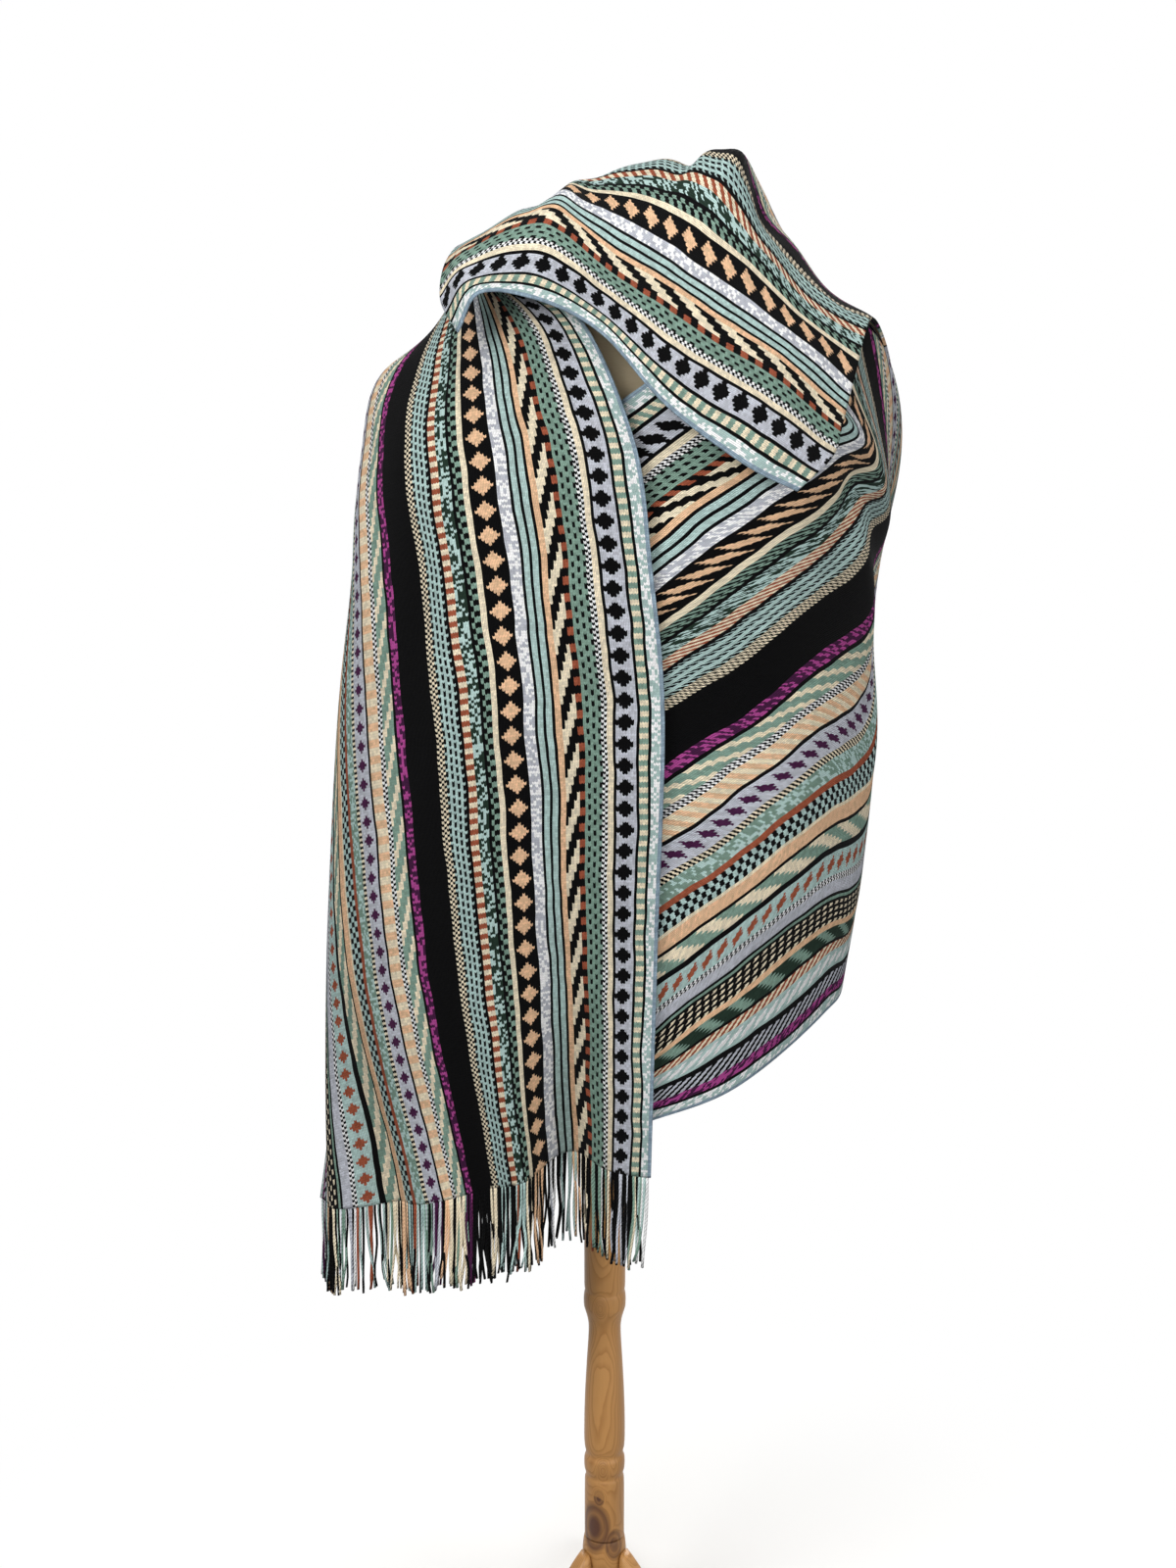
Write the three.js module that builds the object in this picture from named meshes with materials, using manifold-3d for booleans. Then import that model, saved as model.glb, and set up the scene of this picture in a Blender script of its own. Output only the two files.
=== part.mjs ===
// A long knit scarf wrapped over a limbless dress form on a turned wooden pole with three legs.
// Units are millimetres, +Z is up and the front of the form looks along -Y.
// The cloth is one strip. It is built in three stretches, one behind the other along the strip:
// the front left panel, the collar across the neck and the upper back, and the front right panel.
import * as THREE from "three";
import { mergeVertices } from "three/addons/utils/BufferGeometryUtils.js";
import Module from "manifold-3d";

const wasm = await Module();
wasm.setup();
const { Manifold, Mesh: SolidMesh } = wasm;

// driving dimensions
const STRIP_WIDTH = 580;      // flat width of the scarf, edge to edge
const WALL = 3;               // thickness of the knit
const SEAM_GAP = 0.6;         // space left between two stretches
const HEM_FROM_FLOOR = 645;   // height of the fringed end at its inner edge
const FRINGE_LENGTH = 92;     // from the hem to the tips
const FRINGE_STRANDS = 100;
const STRAND_RADIUS = 1.5;
const STRIP_DEPTH = 8;        // narrow strip the strands hang from
const FORM_BASE = 830;        // flat underside of the dress form
const NECK_TOP = 1528;
const FINIAL_TOP = 1590.3;      // wooden knob over the neck, which holds the collar up
const POLE_RADIUS = 22;
const HUB_TOP = 160;
const LEG_REACH = 235;        // from the pole's axis to the tip of a foot
const LEG_WIDTH = 24;

const fabric = (name, colour) => {
  const m = new THREE.MeshStandardMaterial({ color: colour, roughness: 0.95, metalness: 0 });
  m.name = name;
  return m;
};
const knitSage = fabric("knit_sage", 0x8fb3a2);
const knitPale = fabric("knit_pale", 0xa9c7c2);
const knitDusk = fabric("knit_dusk", 0x9fa9b8);
const yarn = fabric("fringe_yarn", 0x5f7a70);
const linen = fabric("form_linen", 0xc9b48d);
const pine = fabric("pine", 0xd09a55);

// Sections of the strip. u runs along the strip, and each point of a row stands at one place
// across it: edge is the inner edge (0 mm across) and hem is the outer edge (580 mm across).
const PANEL_ACROSS = [0, 116, 232, 348, 464, 580];          // edge, inner, middle, side, outer, hem
const COLLAR_ACROSS = [0, 45, 90, 145, 232, 348, 464, 580]; // edge, lip, brow, crown, ridge ... hem

const LEFT = [
  { u: 0, at: [[42, -172, HEM_FROM_FLOOR], [-44, -158, 648], [-112, -160, 630], [-182, -160, 612], [-268, -92, 580],
    [-304, 8, 550]] },
  { u: 235, at: [[47, -182, 885], [-50, -172, 872], [-143, -172, 850], [-228, -140, 825], [-284, -55, 800],
    [-270, 50, 790]] },
  { u: 475, at: [[52, -188, 1105], [-58, -185, 1095], [-162, -172, 1080], [-248, -110, 1062], [-270, 0, 1045],
    [-220, 98, 1035]] },
  { u: 620, at: [[40, -178, 1243], [-72, -172, 1240], [-178, -148, 1232], [-246, -70, 1215], [-240, 42, 1197],
    [-168, 124, 1180]] },
  { u: 745, at: [[23, -157, 1361], [-90, -144, 1358], [-192, -112, 1346], [-240, -18, 1330], [-202, 88, 1295],
    [-104, 146, 1266]] },
  { u: 870, at: [[-30, -104, 1474], [-108, -84, 1450], [-180, -46, 1428], [-219, 20, 1412], [-160, 128, 1338],
    [-64, 160, 1290]] },
  { u: 960, at: [[-104, -52, 1502], [-130, -8, 1516], [-142, 58, 1506], [-129, 126, 1425], [-87, 157, 1345],
    [-36, 166, 1288]] },
];
const COLLAR = [
  { u: 0, at: [[-140, -118, 1458], [-156, -98, 1486], [-154, -64, 1519], [-140, -24, 1538],
    [-142, 58, 1506], [-129, 126, 1425], [-87, 157, 1345], [-36, 166, 1288]] },
  { u: 34, at: [[-118, -124, 1494], [-132, -108, 1514], [-129, -66, 1538], [-118, -20, 1549],
    [-124, 58, 1528], [-103, 130, 1440], [-65, 160, 1358], [-20, 168, 1296]] },
  { u: 90, at: [[-63, -120, 1487], [-68, -104, 1526], [-58, -62, 1566], [-50, -8, 1584],
    [-44, 70, 1572], [-40, 138, 1492], [-25, 163, 1395], [10, 170, 1312]] },
  { u: 180, at: [[-5, -146, 1457], [0, -130, 1486], [12, -104, 1518], [30, -60, 1565],
    [60, 12, 1622], [70, 100, 1560], [75, 150, 1460], [80, 171, 1344]] },
  { u: 270, at: [[53, -174, 1394], [60, -158, 1442], [72, -136, 1480], [95, -98, 1525],
    [121, -27, 1612], [134, 56, 1604], [148, 130, 1495], [150, 167, 1365]] },
  { u: 360, at: [[124, -190, 1342], [142, -176, 1391], [158, -152, 1424], [178, -114, 1462],
    [199, -58, 1500], [212, 30, 1496], [214, 115, 1430], [208, 157, 1325]] },
  { u: 450, at: [[174, -186, 1317], [207, -164, 1346], [218, -144, 1376], [232, -110, 1418],
    [253, -56, 1470], [284, 35, 1424], [296, 100, 1345], [256, 150, 1250]] },
];
const RIGHT = [
  { u: 450, at: [[122, -106, 1446], [208, -106, 1400], [240, -48, 1464], [284, 35, 1424], [296, 100, 1345],
    [256, 150, 1250]] },
  { u: 600, at: [[108, -114, 1438], [232, -110, 1370], [280, -20, 1299], [281, 70, 1240], [271, 122, 1150],
    [262, 128, 1045]] },
  { u: 675, at: [[95, -120, 1436], [206, -134, 1358], [257, -64, 1268], [272, 18, 1150], [270, 58, 1035],
    [260, 70, 930]] },
  { u: 750, at: [[80, -124, 1431], [174, -150, 1340], [242, -104, 1237], [266, -42, 1067], [260, -30, 915],
    [246, -28, 812]] },
  { u: 900, at: [[50, -128, 1419], [129, -160, 1312], [172, -160, 1191], [200, -140, 1037], [213, -115, 907],
    [217, -95, 788]] },
  { u: 1050, at: [[30, -128, 1406], [85, -166, 1282], [107, -176, 1143], [123, -172, 983], [133, -165, 858],
    [126, -150, 730]] },
  { u: 1200, at: [[10, -126, 1392], [31, -164, 1238], [43, -178, 1103], [42, -175, 927], [38, -169, 785],
    [32, -163, 697]] },
];

// Folds lie along a line from one place on the strip to another. A fold is highest in the middle
// of its line and dies out at both ends; a fold below zero height is a valley.
const fold = (u1, v1, u2, v2, width, height) => ({ u1, v1, u2, v2, width, height });
const LEFT_FOLDS = [
  fold(-300, 112, 300, 104, 36, -42),
  fold(-260, 190, 260, 180, 34, 12),
  fold(-330, 408, 330, 400, 30, -24),
  fold(-250, 482, 250, 474, 28, 8),
  fold(600, 66, 960, 30, 18, -5),
  fold(420, 250, 820, 200, 26, -5),
  fold(480, 300, 860, 330, 24, 4),
];
const COLLAR_FOLDS = [
  fold(20, 58, 210, 48, 10, 5),
  fold(72, 40, 92, 320, 9, -6),
  fold(98, 50, 118, 320, 14, 10),
  fold(130, 140, 152, 360, 20, 8),
  fold(194, 140, 220, 380, 18, -16),
  fold(258, 140, 282, 380, 14, 9),
  fold(298, 150, 325, 380, 14, -8),
  fold(250, 330, 380, 150, 24, -6),
];
const RIGHT_FOLDS = [
  fold(520, 120, 860, 230, 20, -7),
  fold(540, 60, 880, 170, 20, 5),
  fold(560, 260, 860, 360, 28, -6),
  fold(820, 500, 1240, 450, 30, -5),
  fold(880, 320, 1240, 240, 28, -4),
];

const add = (a, b, k = 1) => [a[0] + b[0] * k, a[1] + b[1] * k, a[2] + b[2] * k];
const sub = (a, b) => [a[0] - b[0], a[1] - b[1], a[2] - b[2]];
const cross = (a, b) => [a[1] * b[2] - a[2] * b[1], a[2] * b[0] - a[0] * b[2], a[0] * b[1] - a[1] * b[0]];
const unit = (a) => {
  const l = Math.hypot(a[0], a[1], a[2]) || 1;
  return [a[0] / l, a[1] / l, a[2] / l];
};
const mix = (a, b, k) => a + (b - a) * k;

// smooth curve through four neighbouring points, f from the second to the third
const curve = (a, b, c, d, f) => b.map((q, k) => 0.5 * (2 * q + (c[k] - a[k]) * f
  + (2 * a[k] - 5 * q + 4 * c[k] - d[k]) * f * f + (3 * q - 3 * c[k] + d[k] - a[k]) * f * f * f));
const beyond = (end, next) => end.map((q, k) => 2 * q - next[k]);
const along = (points, t) => {
  const n = points.length;
  const i = Math.min(Math.max(Math.floor(t), 0), n - 2);
  const a = i > 0 ? points[i - 1] : beyond(points[0], points[1]);
  const d = i < n - 2 ? points[i + 2] : beyond(points[n - 1], points[n - 2]);
  return curve(a, points[i], points[i + 1], d, t - i);
};
const place = (list, value) => {
  let i = 0;
  while (i < list.length - 2 && value > list[i + 1]) i += 1;
  return i + (value - list[i]) / (list[i + 1] - list[i]);
};

// a row before the first or after the last: where two stretches share their outer columns the
// neighbour's row is taken, so the cloth runs on without a kink
const guide = (own, next, neighbour, shared) => own.map((q, k) => {
  const fromEnd = own.length - k;
  return neighbour && fromEnd <= shared ? neighbour[neighbour.length - fromEnd] : beyond(q, next[k]);
});

class Stretch {
  constructor(rows, across, folds, before, after) {
    this.across = across;
    this.folds = folds;
    this.u = rows.map((r) => r.u);
    const n = rows.length;
    const first = guide(rows[0].at, rows[1].at, before && before.row.at, before ? before.shared : 0);
    const last = guide(rows[n - 1].at, rows[n - 2].at, after && after.row.at, after ? after.shared : 0);
    this.rows = [first, ...rows.map((r) => r.at), last];
  }

  base(u, v) {
    const t = place(this.u, u) + 1;
    const i = Math.min(Math.max(Math.floor(t), 1), this.rows.length - 3);
    const section = this.rows[0].map((_, k) => curve(this.rows[i - 1][k], this.rows[i][k],
      this.rows[i + 1][k], this.rows[i + 2][k], t - i));
    return along(section, place(this.across, v));
  }

  rise(u, v) {
    let h = 0;
    for (const f of this.folds) {
      const du = f.u2 - f.u1;
      const dv = f.v2 - f.v1;
      const length = Math.hypot(du, dv);
      const t = ((u - f.u1) * du + (v - f.v1) * dv) / (length * length);
      if (t > 0 && t < 1) {
        const off = ((u - f.u1) * dv - (v - f.v1) * du) / length;
        h += f.height * Math.exp(-((off / f.width) ** 2)) * Math.sin(Math.PI * t) ** 2;
      }
    }
    return h;
  }

  point(u, v) {
    const e = 2;
    const p = this.base(u, v);
    const alongU = sub(this.base(u + e, v), this.base(u - e, v));
    const alongV = sub(this.base(u, v + e), this.base(u, v - e));
    return add(p, unit(cross(alongU, alongV)), this.rise(u, v));
  }
}

// outward direction of a grid of points at one of its places
const facing = (grid, i, j) => {
  const n = grid.length - 1;
  const m = grid[0].length - 1;
  const alongU = sub(grid[Math.min(i + 1, n)][j], grid[Math.max(i - 1, 0)][j]);
  const alongV = sub(grid[i][Math.min(j + 1, m)], grid[i][Math.max(j - 1, 0)]);
  return unit(cross(alongU, alongV));
};

const solid = (points, faces) => {
  const g = new THREE.BufferGeometry();
  g.setAttribute("position", new THREE.Float32BufferAttribute(points.flat(), 3));
  g.setIndex(faces.flat());
  return g;
};

// closed wall of the knit: the outer grid, the same grid moved inwards, and the rim between them
const wall = (grid, thickness) => {
  const n = grid.length;
  const m = grid[0].length;
  const points = [];
  for (const row of grid) for (const p of row) points.push(p);
  for (let i = 0; i < n; i += 1) {
    for (let j = 0; j < m; j += 1) points.push(add(grid[i][j], facing(grid, i, j), -thickness));
  }
  const out = (i, j) => i * m + j;
  const inn = (i, j) => n * m + i * m + j;
  const faces = [];
  const quad = (a, b, c, d) => faces.push([a, b, c], [a, c, d]);
  for (let i = 0; i < n - 1; i += 1) {
    for (let j = 0; j < m - 1; j += 1) {
      quad(out(i, j), out(i + 1, j), out(i + 1, j + 1), out(i, j + 1));
      quad(inn(i, j), inn(i, j + 1), inn(i + 1, j + 1), inn(i + 1, j));
    }
  }
  for (let i = 0; i < n - 1; i += 1) {
    quad(out(i, 0), inn(i, 0), inn(i + 1, 0), out(i + 1, 0));
    quad(out(i, m - 1), out(i + 1, m - 1), inn(i + 1, m - 1), inn(i, m - 1));
  }
  for (let j = 0; j < m - 1; j += 1) {
    quad(out(0, j), out(0, j + 1), inn(0, j + 1), inn(0, j));
    quad(out(n - 1, j), inn(n - 1, j), inn(n - 1, j + 1), out(n - 1, j + 1));
  }
  return solid(points, faces);
};

const sheetGrid = (stretch, from, to, alongCount, acrossCount) => {
  const grid = [];
  for (let i = 0; i <= alongCount; i += 1) {
    const row = [];
    for (let j = 0; j <= acrossCount; j += 1) {
      row.push(stretch.point(mix(from, to, i / alongCount), (STRIP_WIDTH * j) / acrossCount));
    }
    grid.push(row);
  }
  return grid;
};

// rings joined one above the other, closed by a fan at each end
const tube = (rings) => {
  const m = rings[0].length;
  const points = rings.flat();
  const faces = [];
  for (let i = 0; i < rings.length - 1; i += 1) {
    for (let j = 0; j < m; j += 1) {
      const k = (j + 1) % m;
      faces.push([i * m + j, i * m + k, (i + 1) * m + k], [i * m + j, (i + 1) * m + k, (i + 1) * m + j]);
    }
  }
  const middle = (ring) => ring.reduce((s, p) => add(s, p, 1 / m), [0, 0, 0]);
  const low = points.push(middle(rings[0])) - 1;
  const high = points.push(middle(rings[rings.length - 1])) - 1;
  const top = (rings.length - 1) * m;
  for (let j = 0; j < m; j += 1) {
    const k = (j + 1) % m;
    faces.push([low, k, j], [high, top + j, top + k]);
  }
  return solid(points, faces);
};

const toManifold = (geometry) => {
  const g = mergeVertices(geometry, 1e-4);
  return new Manifold(new SolidMesh({ numProp: 3,
    vertProperties: Float32Array.from(g.attributes.position.array), triVerts: Uint32Array.from(g.index.array) }));
};
const fromManifold = (m) => {
  const mesh = m.getMesh();
  const g = new THREE.BufferGeometry();
  g.setAttribute("position", new THREE.Float32BufferAttribute(Array.from(mesh.vertProperties), 3));
  g.setIndex(Array.from(mesh.triVerts));
  return g;
};

const node = (name, geometry, material) => {
  geometry.deleteAttribute("normal");
  geometry.computeVertexNormals();
  const mesh = new THREE.Mesh(geometry, material);
  mesh.name = name;
  return mesh;
};

// the three stretches of cloth
const leftPanel = new Stretch(LEFT, PANEL_ACROSS, LEFT_FOLDS, null, { row: COLLAR[1], shared: 4 });
const collar = new Stretch(COLLAR, COLLAR_ACROSS, COLLAR_FOLDS,
  { row: LEFT[LEFT.length - 2], shared: 4 }, { row: RIGHT[1], shared: 3 });
const rightPanel = new Stretch(RIGHT, PANEL_ACROSS, RIGHT_FOLDS, { row: COLLAR[4], shared: 3 }, null);

const leftGrid = sheetGrid(leftPanel, 0, 960 - SEAM_GAP, 36, 26);
const collarGrid = sheetGrid(collar, SEAM_GAP, 450 - SEAM_GAP, 22, 30);
const rightGrid = sheetGrid(rightPanel, 450 + SEAM_GAP, 1200, 22, 20);

// the front right panel starts under the collar and comes out at its end: it is cut clear of it
// by taking away the collar moved a little each way
const clearOf = (geometry, other) => {
  const keepOut = toManifold(other);
  let left = toManifold(geometry);
  for (const step of [[0, 0, 0], [1, 0, 0], [-1, 0, 0], [0, 1, 0], [0, -1, 0], [0, 0, 1], [0, 0, -1]]) {
    left = left.subtract(keepOut.translate(step.map((q) => q * SEAM_GAP)));
  }
  return fromManifold(left.decompose().sort((a, b) => b.volume() - a.volume())[0]);
};

// fringe: strands grown out of a narrow strip that hangs just under the hem
const fringe = () => {
  const n = 60;
  const hem = [];
  for (let j = 0; j <= n; j += 1) {
    const v = (STRIP_WIDTH * j) / n;
    const p = leftPanel.point(0, v);
    const up = unit(sub(leftPanel.point(6, v), p));
    const side = unit(sub(leftPanel.point(0, v + 3), leftPanel.point(0, v - 3)));
    const out = unit(cross(up, side));
    hem.push({ p, down: up.map((q) => -q), out, side });
  }
  const ring = hem.map((h) => [SEAM_GAP, STRIP_DEPTH].map((s) => add(h.p, h.down, s)));
  const band = wall([ring.map((r) => r[1]), ring.map((r) => r[0])].map((row) => row), WALL);
  const parts = [toManifold(band)];
  for (let k = 0; k < FRINGE_STRANDS; k += 1) {
    const s = ((k + 0.5) / FRINGE_STRANDS) * n;
    const i = Math.min(Math.floor(s), n - 1);
    const f = s - i;
    const at = (key) => hem[i][key].map((q, c) => mix(q, hem[i + 1][key][c], f));
    const side = unit(at("side"));
    const out = unit(at("out"));
    const root = add(add(at("p"), at("down"), 3.5), out, -WALL / 2);
    const length = FRINGE_LENGTH - 3.5 + 5 * Math.sin(k * 2.4) + 4 * Math.sin(k * 0.9);
    const rings = [];
    for (let r = 0; r <= 2; r += 1) {
      const t = r / 2;
      const sway = t * t * 2.2 * Math.sin(k * 1.7);
      const lean = t * t * 3 * Math.cos(k * 1.1);
      const c = add(add(add(root, [0, 0, -1], length * t), side, sway), out, lean);
      const square = [];
      for (let q = 0; q < 3; q += 1) {
        const a = (q / 3) * Math.PI * 2 + k;
        square.push(add(add(c, side, STRAND_RADIUS * Math.cos(a)), out, STRAND_RADIUS * Math.sin(a)));
      }
      rings.push(square);
    }
    const solidStrand = toManifold(tube(rings.reverse()));
    parts.push(solidStrand);
  }
  return fromManifold(Manifold.union(parts));
};

// dress form: level sections, each with a half width, a half depth in front and behind
const FORM = [
  { z: FORM_BASE, wide: 142, front: 100, back: 104 },
  { z: 842, wide: 152, front: 108, back: 112 },
  { z: 900, wide: 168, front: 114, back: 122 },
  { z: 985, wide: 160, front: 106, back: 114 },
  { z: 1085, wide: 126, front: 90, back: 88 },
  { z: 1170, wide: 142, front: 104, back: 96 },
  { z: 1275, wide: 162, front: 130, back: 106 },
  { z: 1335, wide: 184, front: 120, back: 108 },
  { z: 1380, wide: 200, front: 98, back: 98 },
  { z: 1408, wide: 194, front: 84, back: 88 },
  { z: 1430, wide: 158, front: 72, back: 78 },
  { z: 1452, wide: 102, front: 63, back: 68 },
  { z: 1478, wide: 66, front: 57, back: 60 },
  { z: 1505, wide: 56, front: 53, back: 56 },
  { z: NECK_TOP, wide: 54, front: 52, back: 54 },
];
const FORM_SIDES = 30;
const form = () => {
  const points = FORM.map((s) => [s.z, s.wide, s.front, s.back]);
  const rings = [];
  const steps = 1;
  for (let i = 0; i < points.length - 1; i += 1) {
    for (let k = 0; k < steps; k += 1) rings.push(along(points, i + k / steps));
  }
  rings.push(points[points.length - 1]);
  return tube(rings.map(([z, wide, front, back]) => {
    const ring = [];
    for (let j = 0; j < FORM_SIDES; j += 1) {
      const a = (j / FORM_SIDES) * Math.PI * 2;
      const depth = Math.sin(a) < 0 ? front : back;
      ring.push([wide * Math.cos(a), depth * Math.sin(a), z]);
    }
    return ring;
  }));
};

// turned pole: height and radius of each bead, cove and groove, from the floor side up
const POLE = [
  [HUB_TOP + 0.3, 21.6], [229, 21.6], [233, 20.2], [236, 20.4], [241, 21.8], [247, 22.2], [254, 21.9],
  [258, 20.4], [261, 20.2], [266, 21.4], [276, 22.2], [305, 22], [335, 21], [368, 19.2], [396, 17.4],
  [409, 17.2], [418, 18.6], [426, 21], [431, 22.4], [440, 22.6], [446, 22], [449, 21.2], [453, 21.8],
  [460, POLE_RADIUS], [FORM_BASE - 0.3, POLE_RADIUS],
];
const lathe = (profile, sides) => tube(profile.map(([z, r]) => {
  const ring = [];
  for (let j = 0; j < sides; j += 1) {
    const a = ((j + 0.5) / sides) * Math.PI * 2;
    ring.push([r * Math.cos(a), r * Math.sin(a), z]);
  }
  return ring;
}));
const HUB = [[44, 15], [50, 21], [62, 24], [140, 24], [150, 23.4], [157, 22.6], [HUB_TOP, 21.8]];
const CAP = [
  [NECK_TOP + 0.3, 50], [NECK_TOP + 8, 50], [NECK_TOP + 12, 44], [NECK_TOP + 14, 15], [NECK_TOP + 20, 12],
  [FINIAL_TOP - 36, 15], [FINIAL_TOP - 28, 21], [FINIAL_TOP - 18, 24], [FINIAL_TOP - 8, 20],
  [FINIAL_TOP - 2, 11], [FINIAL_TOP, 4],
];

// curved leg: distance from the axis, height of its middle line and its thickness there
const LEG = [
  { r: 24.4, z: 114, deep: 64 }, { r: 44, z: 87, deep: 47 }, { r: 68, z: 70, deep: 37 },
  { r: 105, z: 54, deep: 31 }, { r: 150, z: 39, deep: 28 }, { r: 190, z: 24, deep: 27 }, { r: 218, z: 14, deep: 27.9 },
  { r: LEG_REACH, z: 11, deep: 22 },
];
const leg = (angle) => {
  const c = Math.cos(angle);
  const s = Math.sin(angle);
  return tube(LEG.map(({ r, z, deep }, i) => {
    const a = LEG[Math.max(i - 1, 0)];
    const b = LEG[Math.min(i + 1, LEG.length - 1)];
    const upright = i === 0 || i >= LEG.length - 2;
    const slope = upright ? 0 : Math.atan2(b.z - a.z, b.r - a.r);
    const ring = [];
    for (const [w, h] of [[-1, -0.8], [-0.8, -1], [0.8, -1], [1, -0.8], [1, 0.8], [0.8, 1], [-0.8, 1], [-1, 0.8]]) {
      const side = (w * LEG_WIDTH) / 2;
      const lift = (h * deep) / 2;
      const rr = r - lift * Math.sin(slope);
      ring.push([rr * c - side * s, rr * s + side * c, Math.max(z + lift * Math.cos(slope), 0)]);
    }
    return ring;
  }));
};
const LEG_ANGLES = [-28, 92, 212];

const group = new THREE.Group();
group.name = "scarf_on_form";
group.add(node("panel_front_left", wall(leftGrid, WALL), knitSage));
group.add(node("collar_and_back", wall(collarGrid, WALL), knitPale));
group.add(node("panel_front_right", clearOf(wall(rightGrid, WALL), wall(collarGrid, WALL)), knitDusk));
group.add(node("fringe", fringe(), yarn));
group.add(node("form_body", form(), linen));
group.add(node("neck_cap", lathe(CAP, 32), pine));
group.add(node("pole", lathe(POLE, 28), pine));
group.add(node("hub", lathe(HUB, 28), pine));
LEG_ANGLES.forEach((degrees, k) => {
  group.add(node(`leg_${k + 1}`, leg((degrees * Math.PI) / 180), pine));
});

// stand the whole on the origin, centred
const box = new THREE.Box3().setFromObject(group);
for (const mesh of group.children) {
  mesh.geometry.translate(-(box.min.x + box.max.x) / 2, -(box.min.y + box.max.y) / 2, -box.min.z);
}

export default group;
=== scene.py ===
"""A long knit scarf wrapped over a limbless dress form on a turned wooden stand, with stage and camera.

Tables are in millimetres and in the form's own frame: the pole's axis stands at x = y = 0, the floor at
z = 0. Meshes are in metres, in the frame of the packed model.
"""
import math

import bpy
import numpy as np
from bpy.props import FloatProperty, FloatVectorProperty, IntProperty, PointerProperty
from bpy.types import Operator, Panel, PropertyGroup
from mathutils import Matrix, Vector


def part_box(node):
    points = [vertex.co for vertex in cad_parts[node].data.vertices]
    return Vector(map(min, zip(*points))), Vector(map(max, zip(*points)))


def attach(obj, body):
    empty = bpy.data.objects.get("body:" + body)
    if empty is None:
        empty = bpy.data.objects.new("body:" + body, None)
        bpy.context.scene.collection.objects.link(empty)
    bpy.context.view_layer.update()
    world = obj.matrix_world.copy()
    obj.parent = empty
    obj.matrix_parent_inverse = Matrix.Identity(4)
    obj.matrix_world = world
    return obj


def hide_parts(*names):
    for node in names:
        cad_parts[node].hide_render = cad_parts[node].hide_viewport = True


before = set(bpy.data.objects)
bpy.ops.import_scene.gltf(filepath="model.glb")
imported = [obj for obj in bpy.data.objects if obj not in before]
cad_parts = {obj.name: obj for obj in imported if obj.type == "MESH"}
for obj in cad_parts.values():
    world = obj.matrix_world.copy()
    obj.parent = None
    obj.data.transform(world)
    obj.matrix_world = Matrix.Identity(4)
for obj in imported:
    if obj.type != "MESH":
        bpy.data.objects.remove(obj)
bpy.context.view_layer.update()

bl_info = {
    "name": "Knit scarf on a dress form",
    "version": (1, 0, 0),
    "blender": (4, 5, 0),
    "location": "3D View > Sidebar > Scarf",
    "description": "Builds a draped knit scarf, its fringe, the dress form and the wooden stand",
    "category": "Add Mesh",
}

MM = 0.001
POLE_BOX = np.array(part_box("pole"), float)
AXIS = np.array([POLE_BOX[:, 0].mean(), POLE_BOX[:, 1].mean(), 0.0])  # where the pole's axis stands

# The strip

STRIP_WIDTH = 580.0
LEFT_END = 960.0      # along the left panel, where it runs on into the collar
COLLAR_END = 450.0    # along the collar, where it runs on into the right panel
RIGHT_END = 1200.0
PANEL_ACROSS = [0, 116, 232, 348, 464, 580]
COLLAR_ACROSS = [0, 45, 90, 145, 232, 348, 464, 580]
SLOPE_STEP = 2.0      # to either side of a point, where its slopes are measured

# u along the strip, then one point (x, y, z) for each place across it, from the inner edge out
LEFT = [
    (0, (42, -172, 645), (-44, -158, 648), (-112, -160, 630), (-182, -160, 612), (-268, -92, 580),
     (-304, 8, 550)),
    (235, (47, -182, 885), (-50, -172, 872), (-143, -172, 850), (-228, -140, 825), (-284, -55, 800),
     (-270, 50, 790)),
    (475, (52, -188, 1105), (-58, -185, 1095), (-162, -172, 1080), (-248, -110, 1062), (-270, 0, 1045),
     (-220, 98, 1035)),
    (620, (40, -178, 1243), (-72, -172, 1240), (-178, -148, 1232), (-246, -70, 1215), (-240, 42, 1197),
     (-168, 124, 1180)),
    (745, (23, -157, 1361), (-90, -144, 1358), (-192, -112, 1346), (-240, -18, 1330), (-202, 88, 1295),
     (-104, 146, 1266)),
    (870, (-30, -104, 1474), (-108, -84, 1450), (-180, -46, 1428), (-219, 20, 1412), (-160, 128, 1338),
     (-64, 160, 1290)),
    (960, (-104, -52, 1502), (-130, -8, 1516), (-142, 58, 1506), (-129, 126, 1425), (-87, 157, 1345),
     (-36, 166, 1288)),
]
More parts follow.
